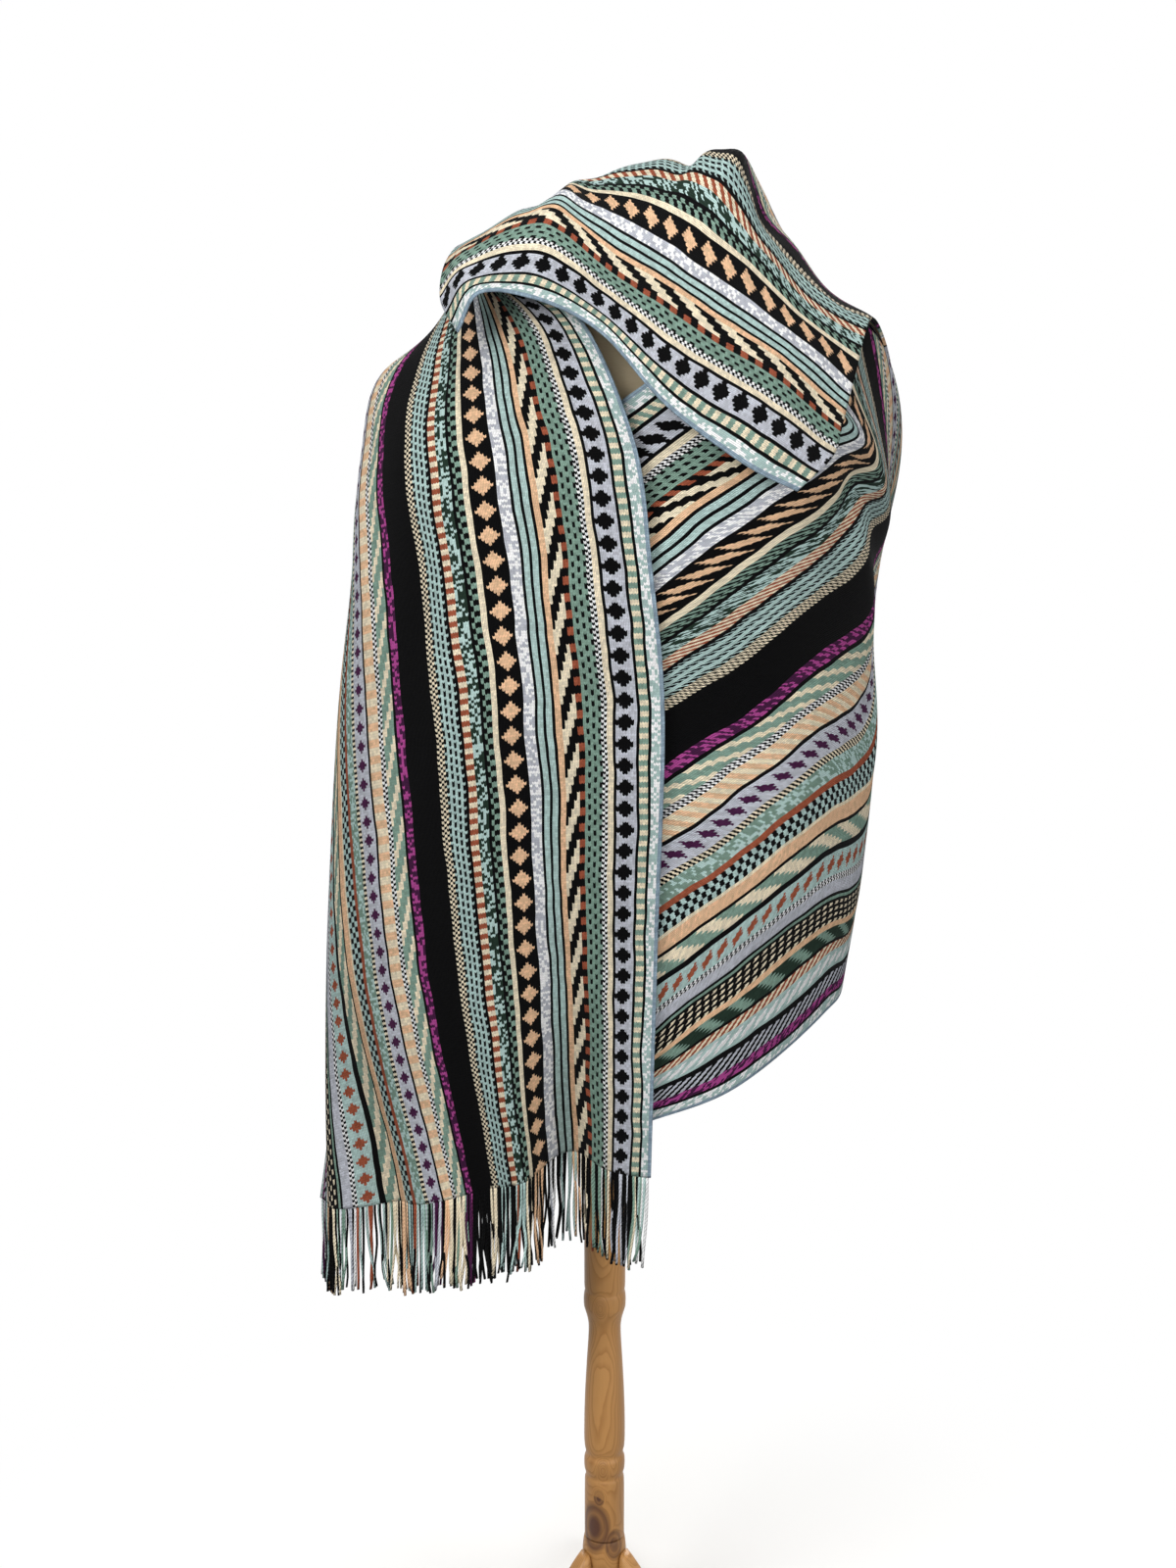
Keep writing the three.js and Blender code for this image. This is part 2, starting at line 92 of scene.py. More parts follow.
COLLAR = [
    (0, (-140, -118, 1458), (-156, -98, 1486), (-154, -64, 1519), (-140, -24, 1538),
     (-142, 58, 1506), (-129, 126, 1425), (-87, 157, 1345), (-36, 166, 1288)),
    (34, (-118, -124, 1494), (-132, -108, 1514), (-129, -66, 1538), (-118, -20, 1549),
     (-124, 58, 1528), (-103, 130, 1440), (-65, 160, 1358), (-20, 168, 1296)),
    (90, (-63, -120, 1487), (-68, -104, 1526), (-58, -62, 1566), (-50, -8, 1584), (-44, 70, 1572),
     (-40, 138, 1492), (-25, 163, 1395), (10, 170, 1312)),
    (180, (-5, -146, 1457), (0, -130, 1486), (12, -104, 1518), (30, -60, 1565), (60, 12, 1622),
     (70, 100, 1560), (75, 150, 1460), (80, 171, 1344)),
    (270, (53, -174, 1394), (60, -158, 1442), (72, -136, 1480), (95, -98, 1525), (121, -27, 1612),
     (134, 56, 1604), (148, 130, 1495), (150, 167, 1365)),
    (360, (124, -190, 1342), (142, -176, 1391), (158, -152, 1424), (178, -114, 1462), (199, -58, 1500),
     (212, 30, 1496), (214, 115, 1430), (208, 157, 1325)),
    (450, (174, -186, 1317), (207, -164, 1346), (218, -144, 1376), (232, -110, 1418), (253, -56, 1470),
     (284, 35, 1424), (296, 100, 1345), (256, 150, 1250)),
]
RIGHT = [
    (450, (122, -106, 1446), (208, -106, 1400), (240, -48, 1464), (284, 35, 1424), (296, 100, 1345),
     (256, 150, 1250)),
    (600, (108, -114, 1438), (232, -110, 1370), (280, -20, 1299), (281, 70, 1240), (271, 122, 1150),
     (262, 128, 1045)),
    (675, (95, -120, 1436), (206, -134, 1358), (257, -64, 1268), (272, 18, 1150), (270, 58, 1035),
     (260, 70, 930)),
    (750, (80, -124, 1431), (174, -150, 1340), (242, -104, 1237), (266, -42, 1067), (260, -30, 915),
     (246, -28, 812)),
    (900, (50, -128, 1419), (129, -160, 1312), (172, -160, 1191), (200, -140, 1037), (213, -115, 907),
     (217, -95, 788)),
    (1050, (30, -128, 1406), (85, -166, 1282), (107, -176, 1143), (123, -172, 983), (133, -165, 858),
     (126, -150, 730)),
    (1200, (10, -126, 1392), (31, -164, 1238), (43, -178, 1103), (42, -175, 927), (38, -169, 785),
     (32, -163, 697)),
]

# folds: from (u1, v1) to (u2, v2) on the strip, width, height; a negative height is a valley
LEFT_FOLDS = [
    (-300, 112, 300, 104, 36, -42), (-260, 190, 260, 180, 34, 12), (-330, 408, 330, 400, 30, -24),
    (-250, 482, 250, 474, 28, 8), (600, 66, 960, 30, 18, -5), (420, 250, 820, 200, 26, -5),
    (480, 300, 860, 330, 24, 4),
]
COLLAR_FOLDS = [
    (20, 58, 210, 48, 10, 5), (72, 40, 92, 320, 9, -6), (98, 50, 118, 320, 14, 10),
    (130, 140, 152, 360, 20, 8), (194, 140, 220, 380, 18, -16), (258, 140, 282, 380, 14, 9),
    (298, 150, 325, 380, 14, -8), (250, 330, 380, 150, 24, -6),
]
RIGHT_FOLDS = [
    (520, 120, 860, 230, 20, -7), (540, 60, 880, 170, 20, 5), (560, 260, 860, 360, 28, -6),
    (820, 500, 1240, 450, 30, -5), (880, 320, 1240, 240, 28, -4),
]
# smaller creases that only the finished cloth has
LEFT_CREASES = [
    (640, 20, 900, 90, 9, 1.6), (690, 120, 930, 150, 10, -1.8), (560, 330, 830, 380, 14, 1.6),
    (120, 300, 420, 318, 22, 2.0), (60, 520, 380, 508, 18, -2.0), (300, 30, 620, 44, 18, 1.4),
    (700, 430, 940, 380, 12, -2.0), (330, 470, 640, 440, 18, 1.8),
]
COLLAR_CREASES = [
    (30, 66, 300, 52, 9, 3.5), (50, 34, 290, 26, 9, -3.0), (60, 120, 220, 96, 8, -1.8),
    (150, 210, 330, 150, 12, 1.6), (210, 90, 380, 66, 9, -1.4),
    (300, 250, 440, 200, 10, 2.0), (30, 330, 210, 380, 14, -2.0), (180, 470, 400, 430, 16, 2.0),
    (330, 40, 450, 24, 8, 1.4), (40, 480, 260, 520, 16, 1.6),
]
RIGHT_CREASES = [
    (600, 90, 820, 150, 9, 1.8), (640, 330, 860, 420, 14, 1.8), (900, 150, 1160, 120, 16, 1.8),
    (940, 400, 1200, 352, 16, 1.8), (700, 500, 940, 540, 14, -1.6), (560, 40, 700, 96, 8, -1.6),
]


def columns(rows):
    """A table's u values, and its points as an array of rows, places across and x, y, z."""
    return np.array([r[0] for r in rows], float), np.array([r[1:] for r in rows], float)


def guide(end, following, neighbour=None, shared=0):
    """A row beyond the end of a table: 2 * end - following, with the neighbour's own points in the last,
    shared columns, so the cloth runs on without a kink."""
    row = 2 * end - following
    if shared:
        row[-shared:] = neighbour[-shared:]
    return row


def weights(f):
    """The four weights of a smooth curve through neighbouring points, at the fraction f from the second
    to the third: half of (-f + 2f^2 - f^3, 2 - 5f^2 + 3f^3, f + 4f^2 - 3f^3, f^3 - f^2)."""
    f2, f3 = f**2, f**3
    return 0.5 * np.stack([-f + 2 * f2 - f3, 2 - 5 * f2 + 3 * f3, f + 4 * f2 - 3 * f3, f3 - f2])


def stations(marks, values):
    """The span of marks that each value lies in, and how far along that span it is."""
    marks = np.asarray(marks, float)
    i = np.clip(np.searchsorted(marks, values, side="right") - 1, 0, len(marks) - 2)
    return i, (values - marks[i]) / (marks[i + 1] - marks[i])


def unit(a):
    """Each vector over its own length."""
    return a / np.maximum(np.linalg.norm(a, axis=-1, keepdims=True), 1e-9)


class Stretch:
    """One stretch of the strip, as a surface over u, along it, and v, across it."""

    def __init__(self, table, across, folds, before=None, after=None):
        self.marks, points = columns(table)
        self.across = np.array(across, float)
        self.folds = folds
        first = guide(points[0], points[1], *(before or ()))
        last = guide(points[-1], points[-2], *(after or ()))
        self.rows = np.concatenate([first[None], points, last[None]])

    def base(self, u, v):
        """Smooth curves through the table's rows at each u, then a smooth curve across them at each v."""
        i, f = stations(self.marks, u)
        w = weights(f)
        section = sum(w[k][:, None, None] * self.rows[i + k] for k in range(4))
        start, end = 2 * section[:, :1] - section[:, 1:2], 2 * section[:, -1:] - section[:, -2:-1]
        section = np.concatenate([start, section, end], axis=1)
        j, g = stations(self.across, v)
        w = weights(g)
        return sum(w[k][None, :, None] * section[:, j + k] for k in range(4))

    def rise(self, u, v):
        """Sum over the folds of height * exp(-(distance from its line / width)^2) * sin^2(pi * place on it)
        """
        u, v = np.meshgrid(u, v, indexing="ij")
        h = np.zeros_like(u)
        for u1, v1, u2, v2, width, height in self.folds:
            du, dv = u2 - u1, v2 - v1
            length = math.hypot(du, dv)
            t = ((u - u1) * du + (v - v1) * dv) / length**2
            off = ((u - u1) * dv - (v - v1) * du) / length
            fold = height * np.exp(-((off / width) ** 2)) * np.sin(np.pi * t) ** 2
            h += np.where((t > 0) & (t < 1), fold, 0)
        return h

    def points(self, u, v):
        """The base surface moved by the folds along its outward normal, the cross product of its slopes."""
        slope_u = self.base(u + SLOPE_STEP, v) - self.base(u - SLOPE_STEP, v)
        slope_v = self.base(u, v + SLOPE_STEP) - self.base(u, v - SLOPE_STEP)
        return self.base(u, v) + unit(np.cross(slope_u, slope_v)) * self.rise(u, v)[..., None]


def stretches():
    """The three stretches, each guided by its neighbours where they share columns."""
    _, collar = columns(COLLAR)
    _, left = columns(LEFT)
    _, right = columns(RIGHT)
    return (
        Stretch(LEFT, PANEL_ACROSS, LEFT_FOLDS + LEFT_CREASES, after=(collar[1], 4)),
        Stretch(COLLAR, COLLAR_ACROSS, COLLAR_FOLDS + COLLAR_CREASES, (left[-2], 4), (right[1], 3)),
        Stretch(RIGHT, PANEL_ACROSS, RIGHT_FOLDS + RIGHT_CREASES, (collar[4], 3)),
    )


def facing(grid):
    """Outward normals of a grid of points, from the slopes along it and across it."""
    return unit(np.cross(np.gradient(grid, axis=0), np.gradient(grid, axis=1)))


def run_along(grid):
    """Length of cloth from the first row to each point, along its own line of the grid."""
    steps = np.linalg.norm(np.diff(grid, axis=0), axis=-1)
    return np.concatenate([np.zeros((1, grid.shape[1])), np.cumsum(steps, axis=0)])


def slant(grid):
    """How far each line of the grid runs on past the first one, so that the stitches stand square to the
    strip: the sum of the steps across, each measured along the strip, as a mean over the whole stretch."""
    ahead = unit(np.gradient(grid, axis=0))
    steps = (np.diff(grid, axis=1) * (ahead[:, 1:] + ahead[:, :-1]) / 2).sum(-1)
    return np.concatenate([[0], np.cumsum(steps.mean(0))])


# Meshes

OTHER_WAY = [0, 3, 2, 1]  # the corners of a face taken the other way round, which turns it over


def in_frame(points):
    """Millimetres from the pole's foot, as metres in the frame."""
    return points.reshape(-1, 3) * MM + AXIS


def smooth_mesh(name, points, faces, uv=None, sharp_faces=0):
    """A mesh from arrays: points, quads or triangles as index arrays, and one uv pair for each point.
    The last sharp_faces faces are flat, the others are shaded smooth."""
    loops = np.concatenate([f.ravel() for f in faces]).astype(np.int32)
    sizes = np.concatenate([np.full(len(f), f.shape[1]) for f in faces])
    starts = np.concatenate([[0], np.cumsum(sizes)[:-1]]).astype(np.int32)
    mesh = bpy.data.meshes.new(name)
    mesh.vertices.add(len(points))
    mesh.vertices.foreach_set("co", points.astype(np.float32).ravel())
    mesh.loops.add(len(loops))
    mesh.loops.foreach_set("vertex_index", loops)
    mesh.polygons.add(len(starts))
    mesh.polygons.foreach_set("loop_start", starts)
    flags = np.ones(len(starts), bool)
    if sharp_faces:
        flags[-sharp_faces:] = False
    mesh.update(calc_edges=True)
    mesh.polygons.foreach_set("use_smooth", flags)
    if uv is not None:
        layer = mesh.uv_layers.new(name="cloth")
        layer.data.foreach_set("uv", uv[loops].astype(np.float32).ravel())
    mesh.update()
    if mesh.validate():
        raise RuntimeError(f"{name}: the mesh was not valid")
    return mesh


def piece(name, mesh, material, node):
    """A finished piece: its object at the origin, riding on the body, in place of its CAD node."""
    mesh.name = name
    obj = bpy.data.objects.new(name, mesh)
    bpy.context.scene.collection.objects.link(obj)
    mesh.materials.append(material)
    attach(obj, "root")
    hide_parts(node)
    return obj


def ring_quads(rings, sides):
    """The faces between neighbouring closed rings, each as the numbers of its four points."""
    i, j = np.meshgrid(np.arange(rings - 1), np.arange(sides), indexing="ij")
    k = (j + 1) % sides
    low, high = i * sides, (i + 1) * sides
    return np.stack([low + j, low + k, high + k, high + j], -1).reshape(-1, 4)


def cloth_shell(name, grid, start, wall):
    """A closed shell of cloth. Each section is a flat ring: the outer points, a half circle round the far
    edge, the inner points one wall further in, and a half circle round the near edge. The rings are joined
    along the strip and capped at both ends. The uv is metres along and across the strip."""
    n, m = grid.shape[:2]
    normal = facing(grid)
    inner = grid - normal * wall
    middle = grid - normal * wall / 2
    turn = np.radians([45, 90, 135])

    def edge(j, k):
        out = unit(grid[:, j] - grid[:, k])
        turned_out = [np.sin(a) * out + np.cos(a) * normal[:, j] for a in turn]
        return np.stack([middle[:, j] + wall / 2 * way for way in turned_out], 1)

    far, near = edge(-1, -2), edge(0, 1)[:, ::-1]
    ring = np.concatenate([grid, far, inner[:, ::-1], near], axis=1)
    size = ring.shape[1]
    run = start + run_along(grid)
    along = run + slant(grid)
    across = np.broadcast_to(np.linspace(0, STRIP_WIDTH, m), (n, m))
    u, v = (np.concatenate([q, np.repeat(q[:, -1:], 3, 1), q[:, ::-1], np.repeat(q[:, :1], 3, 1)], 1)
            for q in (along, across))
    walls = ring_quads(n, size)[:, OTHER_WAY]
    j = np.arange(m - 1)
    back = 2 * m + 2 - j       # inner point under outer point j
    first = np.stack([j, j + 1, back - 1, back], -1)
    tip = np.array([[m - 1, m, m + 1, m + 2, m + 3], [2 * m + 2, 2 * m + 3, 2 * m + 4, 2 * m + 5, 0]])
    last = (n - 1) * size
    faces = [walls, first, first[:, ::-1] + last, tip, tip[:, ::-1] + last]
    uv = np.stack([u, v], -1).reshape(-1, 2) * MM
    caps = 2 * len(first) + 2 * len(tip)
    return smooth_mesh(name, in_frame(ring), faces, uv, caps), run[-1]


def loft(name, rings, grain=None):
    """Closed rings of points joined one above the other, with a fan to the middle of each end. The grain is
    each point's place in its wood."""
    n, m = rings.shape[:2]
    points = np.concatenate([rings.reshape(-1, 3), rings[:1].mean(1), rings[-1:].mean(1)])
    j = np.arange(m)
    k = (j + 1) % m
    top = (n - 1) * m
    low = np.stack([np.full(m, n * m), k, j], -1)
    high = np.stack([np.full(m, n * m + 1), top + j, top + k], -1)
    mesh = smooth_mesh(name, in_frame(points), [ring_quads(n, m), low, high], None, 2 * m)
    if grain is not None:
        grain = np.concatenate([grain.reshape(-1, 3), grain[:1].mean(1), grain[-1:].mean(1)]) * MM
        layer = mesh.attributes.new("grain", "FLOAT_VECTOR", "POINT")
        layer.data.foreach_set("vector", grain.astype(np.float32).ravel())
    return mesh


def eased(profile, rounds=2):
    """A profile with its corners cut: each span keeps the points at a fifth and four fifths of it."""
    p = np.array(profile, float)
    for _ in range(rounds):
        a, b = p[:-1], p[1:]
        cut = np.stack([0.8 * a + 0.2 * b, 0.2 * a + 0.8 * b], 1).reshape(-1, p.shape[1])
        p = np.concatenate([p[:1], cut, p[-1:]])
    return p


def turned(name, profile, sides=96):
    """A turned piece: the eased profile of height and radius carried once round the pole's axis."""
    z, r = eased(profile).T
    a = (np.arange(sides) + 0.5) / sides * 2 * np.pi
    ring = np.stack([r[:, None] * np.cos(a), r[:, None] * np.sin(a), z[:, None] + 0 * a], -1)
    return loft(name, ring, ring)


# The stand and the form

FORM_BASE = 830.0
NECK_TOP = 1528.0
FINIAL_TOP = 1590.3
HUB_TOP = 160.0
POLE_RADIUS = 22.0
GAP = 0.3             # between pieces that meet
# height, half width, half depth in front and behind
FORM = [
    (FORM_BASE, 142, 100, 104), (842, 152, 108, 112), (900, 168, 114, 122), (985, 160, 106, 114),
    (1085, 126, 90, 88), (1170, 142, 104, 96), (1275, 162, 130, 106), (1335, 184, 120, 108),
    (1380, 200, 98, 98), (1408, 194, 84, 88), (1430, 158, 72, 78), (1452, 102, 63, 68), (1478, 66, 57, 60),
    (1505, 56, 53, 56), (NECK_TOP, 54, 52, 54),
]
# height and radius
CAP = [
    (NECK_TOP + GAP, 50), (NECK_TOP + 8, 50), (NECK_TOP + 12, 44), (NECK_TOP + 14, 15), (NECK_TOP + 20, 12),
    (FINIAL_TOP - 36, 15), (FINIAL_TOP - 28, 21), (FINIAL_TOP - 18, 24), (FINIAL_TOP - 8, 20),
    (FINIAL_TOP - 2, 11), (FINIAL_TOP, 4),
]
POLE = [
    (HUB_TOP + GAP, 21.6), (229, 21.6), (233, 20.2), (236, 20.4), (241, 21.8), (247, 22.2), (254, 21.9),
    (258, 20.4), (261, 20.2), (266, 21.4), (276, 22.2), (305, 22), (335, 21), (368, 19.2), (396, 17.4),
    (409, 17.2), (418, 18.6), (426, 21), (431, 22.4), (440, 22.6), (446, 22), (449, 21.2), (453, 21.8),
    (460, POLE_RADIUS), (FORM_BASE - GAP, POLE_RADIUS),
]
HUB = [(44, 15), (50, 21), (62, 24), (140, 24), (150, 23.4), (157, 22.6), (HUB_TOP, 21.8)]
# distance from the axis, height of the middle line, depth
LEG = [
    (24.4, 114, 64), (44, 87, 47), (68, 70, 37), (105, 54, 31), (150, 39, 28), (190, 24, 27),
    (218, 14, 27.9), (235, 11, 22),
]
LEG_WIDTH = 24.0
LEG_SIDES = 32
CURVE_STEPS = 6       # rings for each span of the form's and the legs' tables
LEG_ANGLES = (-28, 92, 212)
LEG_FLAT = 222.0      # distance from the axis, beyond which the foot lies level
LEG_TURN = 30.0       # length over which the section turns from upright to square with the middle line
LEG_GRAIN = (900, 37)  # a leg's place in its wood: a height, and a step for each degree of its angle
# place, size and darkness of the knots in the wood
KNOTS = [
    ((-12, -20, 178), 15, 1.0), ((11, -20, 158), 9, 0.8), ((-6, -20, 214), 5, 0.35),
    ((-2, -21, 248), 5, 0.2), ((-5, -22, 436), 5, 0.15), ((14, -17, 610), 6, 0.6),
    ((-16, 14, 330), 7, 0.8), ((18, 10, 700), 6, 0.7),
]
# in metres: the heart line's place beside and behind a piece, its lean in each, and the rings' distance
HEART = (0.006, 0.052)
HEART_LEAN = (0.012, 0.006)
RING_PITCH = 0.0021
LINEN_THREADS = 7000.0  # radians in a metre, for threads 0.9 mm apart


def through(table, steps):
    """A table with steps - 1 more rows between each pair, on smooth curves through its columns."""
    p = np.array(table, float)
    p = np.concatenate([2 * p[:1] - p[1:2], p, 2 * p[-1:] - p[-2:-1]])
    t = np.linspace(0, len(table) - 1, (len(table) - 1) * steps + 1)
    i = np.minimum(t.astype(int), len(table) - 2)
    w = weights(t - i)
    return sum(w[k][:, None] * p[i + k] for k in range(4))


def form_mesh(name, sides=120):
    """The dress form: level rings with their own half width and half depth in front and behind."""
    z, wide, front, back = through(FORM, CURVE_STEPS).T
    a = np.arange(sides) / sides * 2 * np.pi
    depth = np.where(np.sin(a) < 0, front[:, None], back[:, None])
    ring = np.stack([wide[:, None] * np.cos(a), depth * np.sin(a), z[:, None] + 0 * a], -1)
    return loft(name, ring)


def leg_mesh(name, degrees):
    """A curved leg: a rounded section square to the table's middle line, turned about the pole's axis."""
    r, z, deep = through(LEG, CURVE_STEPS).T
    turned_in = np.clip(np.minimum(r - LEG[0][0], LEG_FLAT - r) / LEG_TURN, 0, 1)
    slope = np.arctan2(np.gradient(z), np.gradient(r)) * turned_in
    a = (np.arange(LEG_SIDES) + 0.5) / LEG_SIDES * 2 * np.pi - np.pi / 2
    w = np.sign(np.cos(a)) * np.abs(np.cos(a)) ** 0.5
    h = np.sign(np.sin(a)) * np.abs(np.sin(a)) ** 0.5
    side = w[None, :] * LEG_WIDTH / 2 + 0 * r[:, None]
    lift = h[None, :] * deep[:, None] / 2
    reach = r[:, None] - lift * np.sin(slope)[:, None]
    height = np.maximum(z[:, None] + lift * np.cos(slope)[:, None], 0)
    c, s = math.cos(math.radians(degrees)), math.sin(math.radians(degrees))
    ring = np.stack([reach * c - side * s, reach * s + side * c, height], -1)
    length = np.concatenate([[0], np.cumsum(np.hypot(np.diff(r), np.diff(z)))])
    cut = LEG_GRAIN[0] + LEG_GRAIN[1] * degrees
    return loft(name, ring, np.stack([side, lift, length[:, None] + cut + 0 * side], -1))


# The knit's design

KNIT_ROWS = 200   # rows of stitches across the strip, of STRIP_WIDTH / KNIT_ROWS each
PLAIN, DOTS, CHECKS, DIAMONDS, LINES, STEPS, MELANGE, DASHES = range(8)
FACT_SCALES = (16, 256, 16)  # over a band's motif, first row and repeat, to keep each within 0 to 1
BAND_WAVER = 3        # rows between the furthest places of a band's wavering edge
VEE_DEPTH = 0.9       # stitches held back for each row of distance from a row's middle
SELVEDGE = 2.6        # width of the line along each long edge
TWIST = 0.0042        # metres of a strand between two turns of its plies

# rows, ground, figure, motif, repeat in stitches
BANDS = [
    (4, "aqua", "white", MELANGE, 1), (1, "black", "black", PLAIN, 1), (3, "sage", "cream", DASHES, 2),
    (1, "black", "black", PLAIN, 1), (7, "lilac", "black", DIAMONDS, 8), (1, "black", "black", PLAIN, 1),
    (2, "cream", "cream", PLAIN, 1), (2, "black", "white", CHECKS, 1), (6, "sage", "black", DOTS, 4),
    (2, "rust", "black", DASHES, 3), (5, "black", "cream", STEPS, 6), (2, "peach", "peach", PLAIN, 1),
    (6, "aqua", "black", LINES, 3), (1, "black", "black", PLAIN, 1), (4, "lilac", "white", MELANGE, 1),
    (9, "black", "peach", DIAMONDS, 9), (2, "cream", "cream", PLAIN, 1), (3, "sage", "black", CHECKS, 2),
    (1, "black", "black", PLAIN, 1), (4, "pine", "aqua", MELANGE, 1), (3, "rust", "cream", DASHES, 2),
    (1, "black", "black", PLAIN, 1), (7, "aqua", "black", DOTS, 3), (3, "cream", "black", CHECKS, 1),
    (12, "black", "black", PLAIN, 1), (3, "plum", "magenta", MELANGE, 1), (1, "black", "black", PLAIN, 1),
    (5, "sage", "cream", STEPS, 5), (2, "black", "white", CHECKS, 1), (5, "peach", "cream", DASHES, 3),
    (1, "black", "black", PLAIN, 1), (7, "lilac", "plum", DIAMONDS, 7), (2, "black", "cream", DASHES, 1),
    (5, "sage", "aqua", MELANGE, 1), (2, "rust", "rust", PLAIN, 1), (6, "black", "aqua", CHECKS, 2),
    (1, "cream", "cream", PLAIN, 1), (4, "peach", "peach", PLAIN, 1), (1, "black", "black", PLAIN, 1),
    (6, "cream", "sage", STEPS, 6), (2, "black", "black", PLAIN, 1), (7, "aqua", "rust", DIAMONDS, 7),
    (2, "black", "white", CHECKS, 1), (4, "lilac", "lilac", PLAIN, 1), (3, "sage", "black", LINES, 2),
    (7, "black", "cream", DOTS, 4), (2, "peach", "peach", PLAIN, 1), (5, "pine", "sage", STEPS, 5),
    (1, "black", "black", PLAIN, 1), (3, "cream", "rust", DASHES, 2), (6, "aqua", "white", DIAMONDS, 6),
    (2, "black", "black", PLAIN, 1), (5, "lilac", "black", DASHES, 2), (3, "plum", "magenta", MELANGE, 1),
    (1, "black", "black", PLAIN, 1), (4, "aqua", "white", MELANGE, 1),
]


def tone(code):
    """A six-digit display colour as linear red, green and blue."""
    c = np.array([int(code[i:i + 2], 16) for i in (0, 2, 4)]) / 255
    return tuple(np.where(c <= 0.04045, c / 12.92, ((c + 0.055) / 1.055) ** 2.4).tolist())


def colour_prop(name, code, about):
    return FloatVectorProperty(name=name, description=about, default=tone(code), size=3, min=0, max=1,
                               subtype="COLOR")


def length_prop(name, value, about, low=0.0001, high=5.0):
    return FloatProperty(name=name, description=about, default=value, min=low, max=high, unit="LENGTH",
                         precision=4)


def place_prop(name, place, about):
    return FloatVectorProperty(name=name, description=about, default=place, size=3, subtype="XYZ",
                               unit="LENGTH")


class ScarfYarns(PropertyGroup):
    """The yarns of the knit."""

    black: colour_prop("Black", "070708", "Black yarn")
    sage: colour_prop("Sage", "87a596", "Sage green yarn")
    aqua: colour_prop("Aqua", "bad5d1", "Pale aqua yarn")
    cream: colour_prop("Cream", "f8eacd", "Cream yarn")
    white: colour_prop("White", "fafafa", "White yarn")
    peach: colour_prop("Peach", "f5c9a1", "Peach yarn")
    lilac: colour_prop("Lilac", "cccfd9", "Pale lilac grey yarn")
    rust: colour_prop("Rust", "a5583f", "Rust yarn")
    plum: colour_prop("Plum", "4a1f45", "Plum yarn")
    magenta: colour_prop("Magenta", "b04a92", "Magenta flecks")
    pine: colour_prop("Dark green", "27392f", "Dark green yarn")
    selvedge: colour_prop("Selvedge", "93a8b8", "Blue grey line along both long edges")


class ScarfSizes(PropertyGroup):
    """Sizes of the knit."""

    wall: length_prop("Thickness", 0.003, "Thickness of the knit")
    cell: length_prop("Cell", 0.0036, "Side of a cell of the cloth's mesh, laid flat", 0.002, 0.02)
    stitch: length_prop("Stitch length", 0.0026, "Length of one stitch along the strip")
    relief: length_prop("Stitch relief", 0.0011, "Height of the stitches")
    strands: IntProperty(name="Strands", description="Strands of the fringe", default=230, min=20, max=250)
    strand_radius: length_prop("Strand radius", 0.0016, "Radius of a strand of the fringe")
    fringe: length_prop("Fringe", 0.092, "Length of the fringe under the hem")


class StandFinish(PropertyGroup):
    """Colours of the dress form and the stand."""

    linen: colour_prop("Linen", "f3e3c2", "Cover of the dress form")
    linen_dark: colour_prop("Linen shade", "dcc59a", "Darker threads of the cover")
    wood: colour_prop("Wood", "c8975c", "Pale grain of the pine")
    wood_dark: colour_prop("Wood grain", "95622f", "Dark grain of the pine")
    knot: colour_prop("Knots", "4e2c1a", "Knots in the pine")


class StageSettings(PropertyGroup):
    """The camera, the floor and the lights."""

    eye: place_prop("Camera", (-0.018, -2.25, 1.488), "Where the camera stands, from the pole's foot")
    aim: place_prop("Aim", (-0.018, 0, 1.003), "What the camera looks at, from the pole's foot")
    lens: FloatProperty(name="Lens", description="Focal length", default=51.75, min=10, max=200,
                        unit="CAMERA")
    floor: colour_prop("Floor", "f1f0ee", "Plain pale floor")
    sky: FloatProperty(name="Fill", description="Strength of the plain light all round", default=1.0, min=0,
                       max=5, subtype="FACTOR")
    key: FloatProperty(name="Key light", description="Power of the main soft light", default=86, min=0,
                       max=500, unit="POWER")


# Materials


